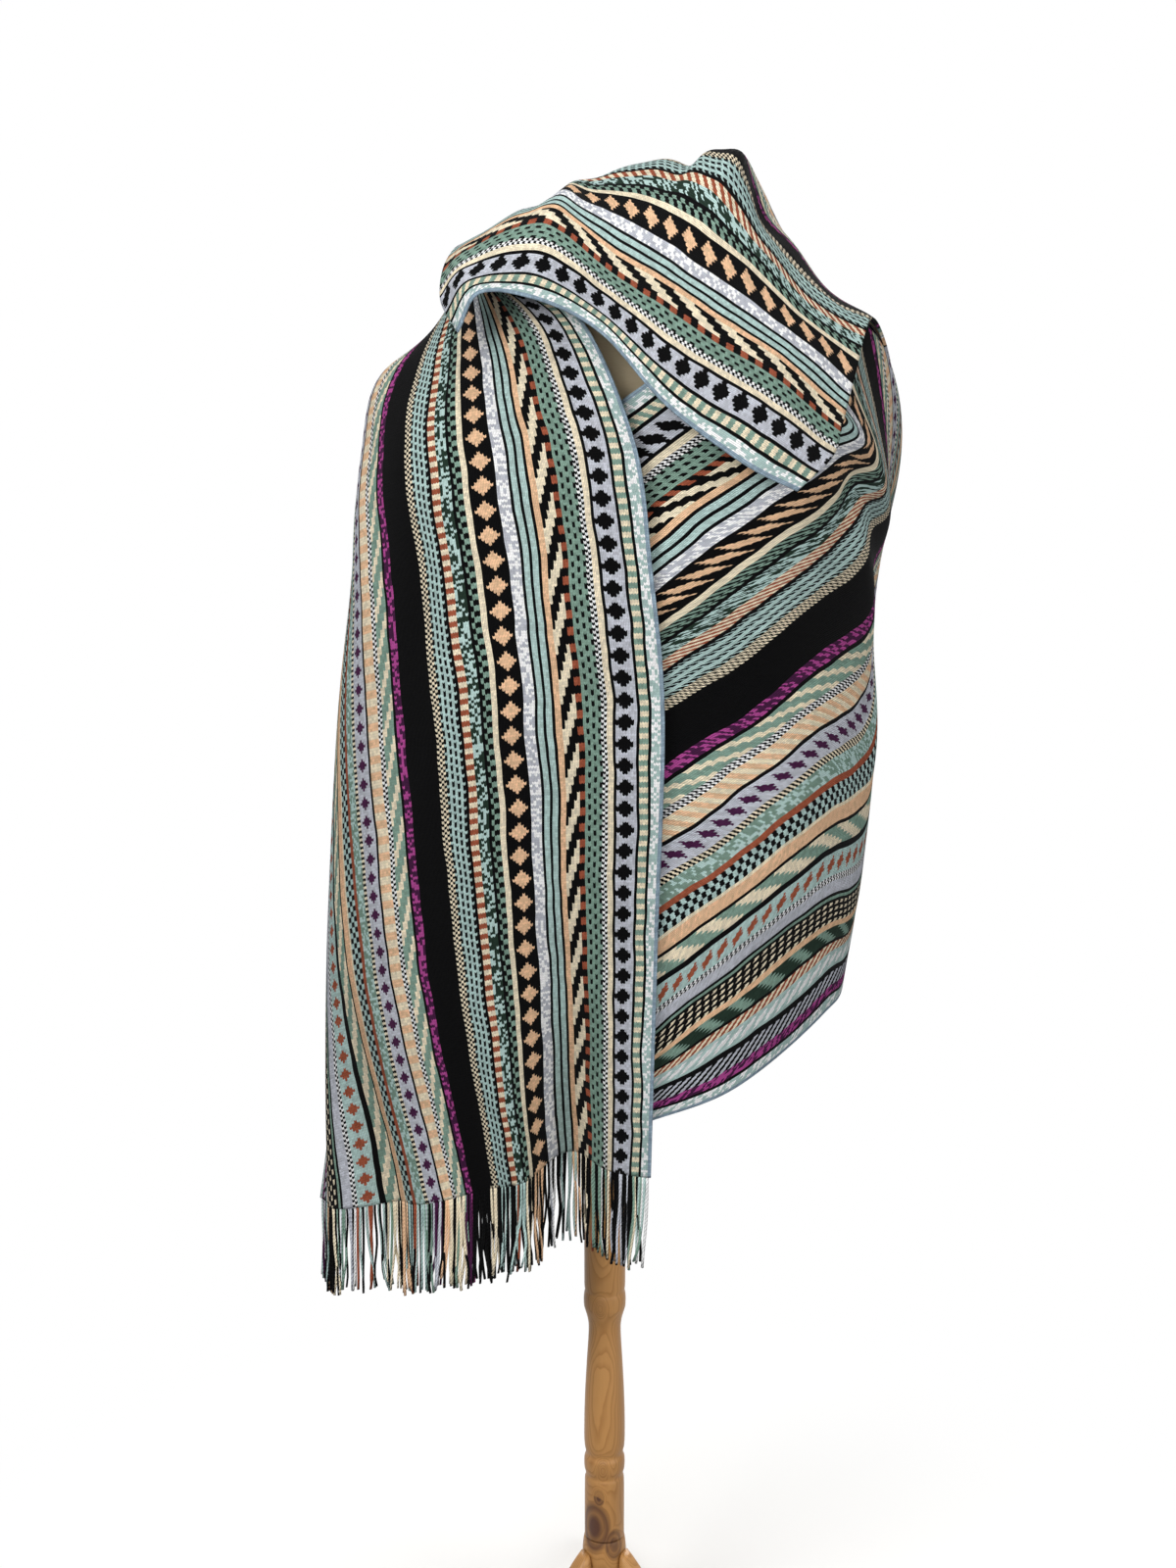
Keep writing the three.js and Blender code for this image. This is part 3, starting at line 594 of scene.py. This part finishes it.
class Graph:
    """Short calls for a material's nodes. Each gives the output that the next one reads."""

    def __init__(self, name):
        self.material = bpy.data.materials.new(name)
        self.material.use_nodes = True
        self.tree = self.material.node_tree
        self.shader = self.tree.nodes["Principled BSDF"]

    def node(self, kind, inputs=(), **settings):
        n = self.tree.nodes.new(kind)
        for key, value in settings.items():
            setattr(n, key, value)
        for key, value in dict(inputs).items():
            self.put(n.inputs[key], value)
        return n

    def put(self, socket, value):
        if isinstance(value, bpy.types.NodeSocket):
            self.tree.links.new(value, socket)
        else:
            socket.default_value = value

    def position(self):
        return self.node("ShaderNodeTexCoord").outputs["Object"]

    def attribute(self, name, output):
        settings = {"attribute_name": name, "attribute_type": "GEOMETRY"}
        return self.node("ShaderNodeAttribute", **settings).outputs[output]

    def cloth_uv(self):
        """Metres along and across the strip. On a strand, the share of the way round and metres along."""
        return self.axes(self.node("ShaderNodeUVMap", uv_map="cloth").outputs["UV"])[:2]

    def axes(self, vector):
        return list(self.node("ShaderNodeSeparateXYZ", {"Vector": vector}).outputs)

    def channels(self, colour):
        return list(self.node("ShaderNodeSeparateColor", {"Color": colour}).outputs)

    def vector_math(self, operation, *values):
        return self.node("ShaderNodeVectorMath", dict(enumerate(values)), operation=operation)

    def length(self, vector):
        return self.vector_math("LENGTH", vector).outputs["Value"]

    def math(self, operation, *values):
        return self.node("ShaderNodeMath", dict(enumerate(values)), operation=operation).outputs[0]

    def times(self, first, *others):
        for other in others:
            first = self.math("MULTIPLY", first, other)
        return first

    def plus(self, first, *others):
        for other in others:
            first = self.math("ADD", first, other)
        return first

    def minus(self, a, b):
        return self.math("SUBTRACT", a, b)

    def above(self, a, b):
        return self.math("GREATER_THAN", a, b)

    def below(self, a, b):
        return self.math("LESS_THAN", a, b)

    def swing(self, value, amount):
        """The distance of a value from one half, times an amount."""
        return self.times(self.minus(value, 0.5), amount)

    def arch(self, share, power):
        """1 - |2 share - 1| ^ power, which is 0 at both ends of a span and 1 halfway."""
        away = self.math("ABSOLUTE", self.minus(self.times(share, 2), 1))
        return self.minus(1, self.math("POWER", away, power))

    def mix(self, factor, a, b, blend="MIX"):
        n = self.node("ShaderNodeMix", data_type="RGBA", blend_type=blend)
        self.put(n.inputs[0], factor)
        for socket, value in ((n.inputs[6], a), (n.inputs[7], b)):
            self.put(socket, value if isinstance(value, bpy.types.NodeSocket) else (*value, 1))
        return n.outputs[2]

    def shaded(self, colour, share):
        """A colour times a plain number."""
        grey = self.node("ShaderNodeCombineColor", {"Red": share, "Green": share, "Blue": share}).outputs[0]
        return self.mix(1.0, colour, grey, "MULTIPLY")

    def ramp(self, factor, stops, interpolation="LINEAR"):
        """A colour ramp from stops of (place, colour)."""
        n = self.node("ShaderNodeValToRGB", {"Fac": factor})
        n.color_ramp.interpolation = interpolation
        elements = n.color_ramp.elements
        while len(elements) > 1:
            elements.remove(elements[-1])
        for k, (place, colour) in enumerate(stops):
            e = elements[0] if k == 0 else elements.new(place)
            e.position = place
            e.color = (*colour, 1)
        return n.outputs["Color"]

    def curve(self, factor, stops):
        """A number that follows stops of (place, height)."""
        return self.channels(self.ramp(factor, [(place, (height,) * 3) for place, height in stops]))[0]

    def noise(self, vector, scale, detail=2.0, roughness=0.5):
        """Noise from 0 to 1. The scale is one number, or one for each axis."""
        if isinstance(scale, tuple):
            vector = self.node("ShaderNodeMapping", {"Vector": vector, "Scale": scale}).outputs[0]
            scale = 1.0
        inputs = {"Vector": vector, "Scale": scale, "Detail": detail, "Roughness": roughness}
        return self.node("ShaderNodeTexNoise", inputs).outputs["Fac"]

    def bump(self, height, strength, distance, under=None):
        inputs = {"Height": height, "Strength": strength, "Distance": distance}
        if under is not None:
            inputs["Normal"] = under
        return self.node("ShaderNodeBump", inputs).outputs["Normal"]

    def finish(self, colour, normal, **constants):
        """Joins colour and normal to the shader and sets its other sockets."""
        self.put(self.shader.inputs["Base Color"], colour)
        self.put(self.shader.inputs["Normal"], normal)
        for key, value in constants.items():
            self.put(self.shader.inputs[key.replace("_", " ")], value)
        return self.material


def band_starts():
    """The first row of each band; the bands fill the strip's width."""
    rows = [b[0] for b in BANDS]
    if sum(rows) != KNIT_ROWS:
        raise RuntimeError(f"the bands have {sum(rows)} rows, not {KNIT_ROWS}")
    return np.concatenate([[0], np.cumsum(rows)[:-1]]).astype(int)


def by_band(g, row, values):
    """The value of the band that a row lies in. Each of two ramps of constant steps covers half the rows,
    and is read at 0.8 of the row, so its own coarse steps never reach into the next band."""
    half = KNIT_ROWS // 2
    starts = band_starts().tolist()
    parts = []
    for first in (0, half):
        stops = []
        for k, start in enumerate(starts):
            end = starts[k + 1] if k + 1 < len(starts) else KNIT_ROWS
            if end > first and start < first + half:
                stops.append((max(start - first, 0) / half, values[k]))
        place = g.math("DIVIDE", g.plus(g.minus(row, first), 0.8), half)
        parts.append(g.ramp(place, stops, "CONSTANT"))
    return g.mix(g.above(row, half - 0.5), *parts)


def motif_share(g, row, stitch, chance):
    """1 where a stitch has its band's figure colour and 0 where it has the ground. The band's motif, first
    row and repeat are kept as the three parts of a colour, each over its own scale."""
    facts = [(b[3] / FACT_SCALES[0], start / FACT_SCALES[1], b[4] / FACT_SCALES[2])
             for b, start in zip(BANDS, band_starts().tolist())]
    parts = zip(g.channels(by_band(g, row, facts)), FACT_SCALES)
    motif, start, repeat = (g.math("ROUND", g.times(part, scale)) for part, scale in parts)
    step = g.minus(row, start)

    def every(value, count):
        return g.math("FLOORED_MODULO", value, count)

    def whole(value, count):
        return g.math("FLOOR", g.math("DIVIDE", value, count))

    middle = g.times(repeat, 0.5)
    place = [g.plus(every(q, repeat), 0.5) for q in (stitch, step)]
    off_middle = [g.math("ABSOLUTE", g.minus(q, middle)) for q in place]
    in_pair = every(g.plus(stitch, g.times(whole(step, 2), 2)), repeat)
    masks = {
        DOTS: g.times(g.below(in_pair, 1.5), g.below(every(step, 2), 0.5)),
        CHECKS: g.above(every(g.plus(whole(stitch, repeat), whole(step, repeat)), 2), 0.5),
        DIAMONDS: g.below(g.plus(*off_middle), g.minus(middle, 0.6)),
        LINES: g.below(every(step, repeat), 0.5),
        STEPS: g.below(every(g.plus(whole(stitch, 3), step), repeat), g.times(repeat, 0.4)),
        MELANGE: g.above(chance, 0.55),
        DASHES: g.above(every(whole(stitch, repeat), 2), 0.5),
    }
    return g.plus(0, *(g.times(g.math("COMPARE", motif, kind, 0.2), mask) for kind, mask in masks.items()))


def knit_material(settings):
    """Knit cloth over the strip's own uv, in metres along and across. Stitches are counted by flooring the
    two lengths, with the count along the strip held back towards the edges of each row, which gives the V
    of a knit stitch. A band's motif gives each stitch the band's ground or figure colour."""
    yarns, sizes = settings.scarf_yarns, settings.scarf_sizes
    g = Graph("knit_cloth")
    along, across = g.cloth_uv()
    position = g.position()
    waver = g.swing(g.noise(position, 14.0), BAND_WAVER)
    row_place = g.plus(g.times(across, KNIT_ROWS / (STRIP_WIDTH * MM)), waver)
    row = g.math("MINIMUM", g.math("MAXIMUM", g.math("FLOOR", row_place), 0), KNIT_ROWS - 1)
    vee = g.math("ABSOLUTE", g.minus(g.math("FRACT", row_place), 0.5))
    stitch_place = g.plus(g.minus(g.times(along, 1 / sizes.stitch), g.times(vee, VEE_DEPTH)), 20)
    stitch = g.math("FLOOR", stitch_place)
    cell = g.node("ShaderNodeCombineXYZ", {"X": stitch, "Y": row}).outputs[0]
    chance = g.node("ShaderNodeTexWhiteNoise", {"Vector": cell}, noise_dimensions="2D").outputs["Value"]

    ground, figure = (by_band(g, row, [tuple(getattr(yarns, b[k])) for b in BANDS]) for k in (1, 2))
    colour = g.mix(motif_share(g, row, stitch, chance), ground, figure)

    # the line along both long edges
    off_middle = g.math("ABSOLUTE", g.minus(across, STRIP_WIDTH * MM / 2))
    colour = g.mix(g.above(off_middle, (STRIP_WIDTH / 2 - SELVEDGE) * MM), colour, tuple(yarns.selvedge))

    # relief: two legs of yarn in each stitch, each rounded across and along; painted shade darkens the
    # hollows between them, and their crests are painted a little lighter
    fine = g.noise(position, 900.0)
    leg = g.arch(g.math("FRACT", g.times(row_place, 2)), 2)
    end = g.arch(g.math("FRACT", stitch_place), 3)
    yarn = g.plus(g.times(leg, g.plus(0.4, g.times(end, 0.6))), g.times(fine, 0.25))
    painted_hollow_shade = g.plus(0.64, g.times(leg, g.plus(0.5, g.times(end, 0.5)), 0.46))

    # uneven yarn: from stitch to stitch, over larger patches and within the yarn
    wear = g.noise(position, 9.0, 3.0)
    uneven = g.plus(0.74, g.times(chance, 0.32), g.swing(wear, 0.3), g.swing(fine, 0.22))
    # the colour times its uneven tone and the painted shade of the hollows between the legs of yarn
    colour = g.shaded(colour, g.times(uneven, painted_hollow_shade))
    normal = g.bump(g.noise(position, 26.0), 0.35, 0.004)
    normal = g.bump(yarn, 0.75, sizes.relief, normal)
    return g.finish(colour, normal, Roughness=0.95, Sheen_Weight=0.015, Sheen_Roughness=0.6,
                    Specular_IOR_Level=0.04)


def yarn_material():
    """Loose yarn: the colour kept on each strand, with a twist of two plies along it."""
    g = Graph("fringe_yarn_twist")
    colour = g.attribute("yarn", "Color")
    around, down = g.cloth_uv()
    turn = g.plus(g.times(down, 1 / TWIST), g.times(around, 2))
    ply = g.math("ABSOLUTE", g.math("SINE", g.times(turn, math.pi)))
    fuzz = g.noise(g.position(), 1100.0, 3.0, 0.6)
    # painted shade: the colour is darker in the grooves between the two plies, where ply falls to 0; the
    # fuzz adds uneven tone
    colour = g.shaded(colour, g.plus(0.62, g.times(ply, 0.3), g.times(fuzz, 0.2)))
    height = g.plus(ply, g.times(fuzz, 0.5))
    return g.finish(colour, g.bump(height, 0.8, 0.0007), Roughness=0.95, Sheen_Weight=0.02,
                    Sheen_Roughness=0.6, Specular_IOR_Level=0.04)


def linen_material(finish):
    """Linen cover: two crossing sets of uneven threads, 0.9 mm apart."""
    g = Graph("form_linen_weave")
    position = g.position()
    x, _, z = g.axes(position)
    uneven = g.times(g.noise(position, 60.0, 3.0), 6)
    threads = [g.math("SINE", g.plus(g.times(q, LINEN_THREADS), uneven)) for q in (x, z)]
    weave = g.plus(g.times(g.plus(*threads), 0.25), 0.5)
    slub = g.noise(position, (140, 140, 900), 3.0)
    share = g.plus(g.times(weave, 0.45), g.times(slub, 0.55))
    colour = g.mix(share, tuple(finish.linen_dark), tuple(finish.linen))
    height = g.plus(weave, g.times(slub, 0.8))
    return g.finish(colour, g.bump(height, 0.6, 0.0006), Roughness=0.9, Sheen_Weight=0.15,
                    Specular_IOR_Level=0.25)


def pine_material(finish):
    """Varnished pine. Growth rings stand 2.1 mm apart round a heart line that runs beside the piece and
    leans a little, so they show as nested arches on its front. They swerve with low noise and round knots.
    The place in the wood comes from the mesh, in metres, with the grain along its third axis."""
    made = bpy.data.materials.get("pine_grain")
    if made:
        return made
    g = Graph("pine_grain")
    place = g.attribute("grain", "Vector")
    x, y, z = g.axes(place)
    near = dark = 0
    for knot, size, depth in KNOTS:
        off = g.vector_math("SUBTRACT", place, [q * MM for q in knot]).outputs[0]
        off = g.vector_math("MULTIPLY", off, (1, 1, 0.62)).outputs[0]
        away = g.times(g.length(off), 1 / (size * MM))
        close = g.math("EXPONENT", g.times(away, away, -0.5))
        near = g.math("MAXIMUM", near, close)
        dark = g.math("MAXIMUM", dark, g.times(g.above(close, 0.3), depth))
    low = g.noise(place, (16, 16, 6.5), 1.6, 0.45)
    fine = g.noise(place, (90, 90, 22))
    aside, behind = (g.minus(g.minus(q, HEART[k]), g.times(z, HEART_LEAN[k])) for k, q in enumerate((x, y)))
    ring = g.math("SQRT", g.plus(g.times(aside, aside), g.times(behind, behind)))
    ring = g.minus(g.plus(ring, g.swing(low, 0.034), g.swing(fine, 0.0018)), g.times(near, 0.013))
    turn = g.math("FRACT", g.times(ring, 1 / RING_PITCH))
    grain = g.curve(turn, [(0.0, 0.12), (0.45, 0.2), (0.8, 0.75), (0.9, 1), (1.0, 0.15)])
    streak = g.noise(place, (700, 700, 26), 3.0)
    share = g.plus(g.times(grain, 0.5), g.times(streak, 0.26))
    colour = g.mix(share, tuple(finish.wood), tuple(finish.wood_dark))
    tint = g.ramp(low, [(0.3, (0.9, 0.86, 0.8)), (0.7, (1.05, 1.03, 1.0))])
    colour = g.mix(1.0, colour, tint, "MULTIPLY")
    knotty = g.curve(near, [(0.4, 0), (0.6, 0.9), (0.78, 0.55), (0.93, 1)])
    colour = g.mix(g.times(knotty, dark), colour, tuple(finish.knot))
    height = g.plus(g.times(grain, 0.5), g.times(streak, 0.5))
    return g.finish(colour, g.bump(height, 0.2, 0.0004), Roughness=0.46, Specular_IOR_Level=0.35,
                    Coat_Weight=0.12, Coat_Roughness=0.3)


def floor_material(stage):
    """Matt floor that passes into the plain light behind it, further away from the stand."""
    g = Graph("pale_floor")
    position = g.position()
    reach = {"Value": g.length(position), "From Min": 0.15, "From Max": 0.9}
    far = g.node("ShaderNodeMapRange", reach, interpolation_type="SMOOTHSTEP").outputs["Result"]
    pale = tuple(stage.floor)
    colour = g.mix(far, g.mix(g.noise(position, 0.8), tuple(0.985 * c for c in pale), pale), (0, 0, 0))
    light = g.mix(far, (0, 0, 0), (1, 1, 1))
    return g.finish(colour, g.bump(g.noise(position, 180.0), 0.05, 0.0005), Roughness=1.0,
                    Specular_IOR_Level=0.0, Emission_Color=light, Emission_Strength=stage.sky)


# Operators

STRAND_SECTIONS = (9, 4)  # rings along a strand, and its sides
STRAND_LENGTHS = (80, 101)
STRAND_SEED = 11
HEM_MARGIN = 2.0          # from the hem's ends to the first and last strand, at least
ROOT_DEPTH = 3.0          # how far a strand reaches up into the hem
# name, place, size, and power as a share of the key light's
LAMPS = [
    ("key", (-1.9, -2.2, 2.7), 2.0, 1.0), ("fill", (2.5, -2.0, 1.5), 2.6, 0.62),
    ("top", (0.0, -0.1, 4.2), 3.0, 0.8), ("back", (0.5, 2.7, 2.0), 2.4, 1.1),
    ("front", (-0.1, -3.2, 1.3), 1.6, 0.3),
]
LAMP_AIM = (0, 0, 1.05)
FLOOR_RADII = [0.4, 1.0, 2.0, 4.0, 8.0, 16.0, 40.0]
FLOOR_DEPTH = 0.0004      # how far the floor lies under the feet
# piece, profile, node and slot
TURNED = [
    ("turned_pole", POLE, "pole", "pole"), ("turned_hub", HUB, "hub", "hub"),
    ("turned_cap", CAP, "neck_cap", "cap"),
]


class SCARF_OT_knit(Operator):
    """Build the three stretches of the knit strip"""

    bl_idname = "scarf.knit"
    bl_label = "Knit strip"
    bl_options = {"REGISTER", "UNDO"}

    def execute(self, context):
        scene = context.scene
        sizes = scene.scarf_sizes
        wall = sizes.wall / MM
        cell = sizes.cell / MM
        material = knit_material(scene)
        left, collar, right = stretches()
        v = np.linspace(0, STRIP_WIDTH, round(STRIP_WIDTH / cell) + 1)

        def along(first, last):
            return np.linspace(first, last, round((last - first) / cell) + 1)

        plans = (
            ("knit_left", left, along(0, LEFT_END), "panel_front_left"),
            ("knit_collar", collar, along(0, COLLAR_END), "collar_and_back"),
            ("knit_right", right, along(COLLAR_END, RIGHT_END), "panel_front_right"),
        )
        start = np.zeros_like(v)
        for name, stretch, u, node in plans:
            grid = stretch.points(u, v)
            mesh, start = cloth_shell(name, grid, start, wall)
            piece(name, mesh, material, node)
        return {"FINISHED"}


class SCARF_OT_fringe(Operator):
    """Hang the fringe from the hem of the front left panel"""

    bl_idname = "scarf.fringe"
    bl_label = "Fringe"
    bl_options = {"REGISTER", "UNDO"}

    def execute(self, context):
        """Each strand is a four-sided tube down a line. With t from 0 at the hem to 1 at the tip, the line
        drops by its length * t, and moves sideways by wave * t * sin(2 pi (turns * t + phase)) + sway * t^2
        and forward by its layer, lean * t^2 and a smaller wave. Its colour is that of its band in the knit,
        or black for about a quarter of the strands."""
        scene = context.scene
        sizes, yarns = scene.scarf_sizes, scene.scarf_yarns
        left = stretches()[0]
        count, rings, sides = sizes.strands, *STRAND_SECTIONS
        rng = np.random.default_rng(STRAND_SEED)
        v = (np.arange(count) + 0.5) / count * (STRIP_WIDTH - 5) + 2.5
        v = np.sort(np.clip(v + rng.uniform(-0.6, 0.6, count), HEM_MARGIN, STRIP_WIDTH - HEM_MARGIN))

        def drawn(low, high):
            return rng.uniform(low, high, count)[:, None, None]

        def spread(width):
            return rng.normal(0, width, count)[:, None, None]

        hem = left.points(np.array([0.0, 6.0]), v)
        root, up = hem[0], unit(hem[1] - hem[0])
        side = unit(np.gradient(root, axis=0))
        out = unit(np.cross(up, side))
        t = np.linspace(0, 1, rings)[None, :, None]
        length = sizes.fringe / MM + rng.normal(0, 3.2, count) + 3 * np.sin(v / 19)
        length = np.clip(length, *STRAND_LENGTHS)[:, None, None]
        wave = drawn(0.6, 3.4)
        turns = drawn(0.5, 1.3)
        phase = drawn(0, 1)
        sway = spread(3.6) + 2.4 * np.sin(v / 23)[:, None, None]
        lean = spread(2.2)
        layer = drawn(-0.9, 0.9)
        start = (root + up * ROOT_DEPTH - out * sizes.wall / MM / 2)[:, None, :]
        drop = np.array([0, 0, 1.0]) * (length + ROOT_DEPTH) * t
        sideways = wave * np.sin(2 * np.pi * (turns * t + phase)) * t + sway * t**2
        forward = layer * np.minimum(t * 6, 1) + lean * t**2 + wave * 0.6 * np.cos(9 * t + 6 * phase) * t
        line = start - drop + sideways * side[:, None] + forward * out[:, None]
        radius = sizes.strand_radius / MM * (drawn(0.86, 1.08) * (1 - 0.12 * t))
        a = np.arange(sides)[None, None, :, None] / sides * 2 * np.pi
        way = np.cos(a) * side[:, None, None, :] + np.sin(a) * out[:, None, None, :]
        points = (line[:, :, None, :] + radius[..., None] * way)[:, ::-1].reshape(-1, 3)
        base = (np.arange(count) * rings * sides)[:, None, None]
        tubes = (base + ring_quads(rings, sides)[None]).reshape(-1, 4)
        low = np.arange(sides)[::-1]
        caps = (base + np.stack([low, np.arange(sides) + (rings - 1) * sides])[None]).reshape(-1, 4)
        # uv: round the strand, and metres along it
        around = np.broadcast_to(np.arange(sides) / sides, (count, rings, sides))
        down = np.broadcast_to((length * t * MM)[:, ::-1], (count, rings, sides))
        uv = np.stack([around, down], -1).reshape(-1, 2)
        mesh = smooth_mesh("fringe_strands", in_frame(points), [tubes, caps], uv, len(caps))

        names = [b[1] for b in BANDS], [b[2] for b in BANDS]
        starts = band_starts()
        row = np.clip(v / STRIP_WIDTH * KNIT_ROWS + rng.normal(0, 1.4, count), 0, KNIT_ROWS - 0.01)
        band = np.searchsorted(starts, row, side="right") - 1
        pick = rng.uniform(0, 1, count)[:, None]
        tones = np.array([[tuple(getattr(yarns, n)) for n in group] for group in names])
        colour = np.where(pick < 0.45, tones[0][band], tones[1][band])
        colour = np.where(pick < 0.76, colour, tuple(yarns.black)) * rng.uniform(0.9, 1.08, (count, 1))
        colour = np.concatenate([np.clip(colour, 0, 1), np.ones((count, 1))], 1)
        layer = mesh.color_attributes.new("yarn", "FLOAT_COLOR", "POINT")
        colour = np.repeat(colour, rings * sides, axis=0)
        layer.data.foreach_set("color", colour.astype(np.float32).ravel())
        fringe = piece("fringe_strands", mesh, yarn_material(), "fringe")
        return {"FINISHED"}


class SCARF_OT_form(Operator):
    """Build the limbless dress form"""

    bl_idname = "scarf.form"
    bl_label = "Dress form"
    bl_options = {"REGISTER", "UNDO"}

    def execute(self, context):
        material = linen_material(context.scene.stand_finish)
        piece("form_cover", form_mesh("form_cover"), material, "form_body")
        return {"FINISHED"}


class SCARF_OT_turned(Operator):
    """Build the turned pieces: pole, hub and the knob on the neck"""

    bl_idname = "scarf.turned"
    bl_label = "Turned pieces"
    bl_options = {"REGISTER", "UNDO"}

    def execute(self, context):
        material = pine_material(context.scene.stand_finish)
        for name, profile, node, slot in TURNED:
            piece(name, turned(name, profile), material, node)
        return {"FINISHED"}


class SCARF_OT_legs(Operator):
    """Build the three curved legs"""

    bl_idname = "scarf.legs"
    bl_label = "Legs"
    bl_options = {"REGISTER", "UNDO"}

    def execute(self, context):
        material = pine_material(context.scene.stand_finish)
        for k, degrees in enumerate(LEG_ANGLES, 1):
            piece(f"curved_leg_{k}", leg_mesh(f"curved_leg_{k}", degrees), material, f"leg_{k}")
        return {"FINISHED"}


class SCARF_OT_stage(Operator):
    """Set the floor, the lights and the camera"""

    bl_idname = "scarf.stage"
    bl_label = "Stage"
    bl_options = {"REGISTER", "UNDO"}

    def execute(self, context):
        scene = context.scene
        stage = scene.stage_settings
        sides = 128
        j = np.arange(sides)
        a = j / sides * 2 * np.pi
        r = np.array(FLOOR_RADII)[:, None]
        ring = np.stack([r * np.cos(a), r * np.sin(a), 0 * r * a], -1)
        outer = ring_quads(len(r), sides)[:, OTHER_WAY]
        middle = np.stack([np.full(sides, len(r) * sides), j, (j + 1) % sides], -1)
        points = np.concatenate([ring.reshape(-1, 3), [[0, 0, 0]]]) - [0, 0, FLOOR_DEPTH]
        floor = bpy.data.objects.new("stage_floor", smooth_mesh("stage_floor", points, [outer, middle]))
        floor.data.materials.append(floor_material(stage))
        scene.collection.objects.link(floor)
        floor.visible_diffuse = False

        world = bpy.data.worlds.new("plain_light")
        world.use_nodes = True
        background = world.node_tree.nodes["Background"]
        background.inputs["Color"].default_value = (1, 1, 1, 1)
        background.inputs["Strength"].default_value = stage.sky
        world.cycles_visibility.diffuse = False
        scene.world = world
        for name, place, size, power in LAMPS:
            light = bpy.data.lights.new(name, "AREA")
            light.shape = "DISK"
            light.size = size
            light.energy = stage.key * power
            lamp = bpy.data.objects.new(name, light)
            scene.collection.objects.link(lamp)
            place_looking(lamp, place, LAMP_AIM)
        camera = bpy.data.objects.new("photo_camera", bpy.data.cameras.new("photo_camera"))
        camera.data.lens = stage.lens
        camera.data.sensor_width = 36
        camera.data.sensor_fit = "AUTO"
        camera.data.clip_start = 0.05
        camera.data.clip_end = 200
        scene.collection.objects.link(camera)
        place_looking(camera, AXIS + np.array(stage.eye), AXIS + np.array(stage.aim))
        scene.camera = camera
        scene.view_settings.view_transform = "Standard"
        return {"FINISHED"}


def place_looking(obj, place, aim):
    """Stands a lamp or camera at a place, turned so that it looks at the aim with its top up."""
    way = Vector(aim) - Vector(place)
    obj.location = place
    obj.rotation_euler = way.to_track_quat("-Z", "Y").to_euler()


class SCARF_PT_panel(Panel):
    """The scarf's sizes, colours and steps"""

    bl_idname = "SCARF_PT_panel"
    bl_label = "Scarf"
    bl_space_type = "VIEW_3D"
    bl_region_type = "UI"
    bl_category = "Scarf"

    def draw(self, context):
        layout = self.layout
        for group, name in GROUPS.items():
            box = layout.box()
            box.label(text=group.__doc__.rstrip("."))
            settings = getattr(context.scene, name)
            for key in group.__annotations__:
                box.prop(settings, key)
        for step in OPERATORS:
            layout.operator(step.bl_idname)


GROUPS = {ScarfYarns: "scarf_yarns", ScarfSizes: "scarf_sizes", StandFinish: "stand_finish",
          StageSettings: "stage_settings"}
OPERATORS = (SCARF_OT_stage, SCARF_OT_knit, SCARF_OT_fringe, SCARF_OT_form, SCARF_OT_turned, SCARF_OT_legs)


def register():
    """Adds the classes and their settings to Blender."""
    for cls in (*GROUPS, *OPERATORS, SCARF_PT_panel):
        bpy.utils.register_class(cls)
    for group, name in GROUPS.items():
        setattr(bpy.types.Scene, name, PointerProperty(type=group))


def unregister():
    """Takes them out again."""
    for name in GROUPS.values():
        delattr(bpy.types.Scene, name)
    for cls in reversed((*GROUPS, *OPERATORS, SCARF_PT_panel)):
        bpy.utils.unregister_class(cls)


def main():
    register()
    bpy.ops.scarf.stage()
    bpy.ops.scarf.knit()
    bpy.ops.scarf.fringe()
    bpy.ops.scarf.form()
    bpy.ops.scarf.turned()
    bpy.ops.scarf.legs()


if __name__ == "__main__":
    main()
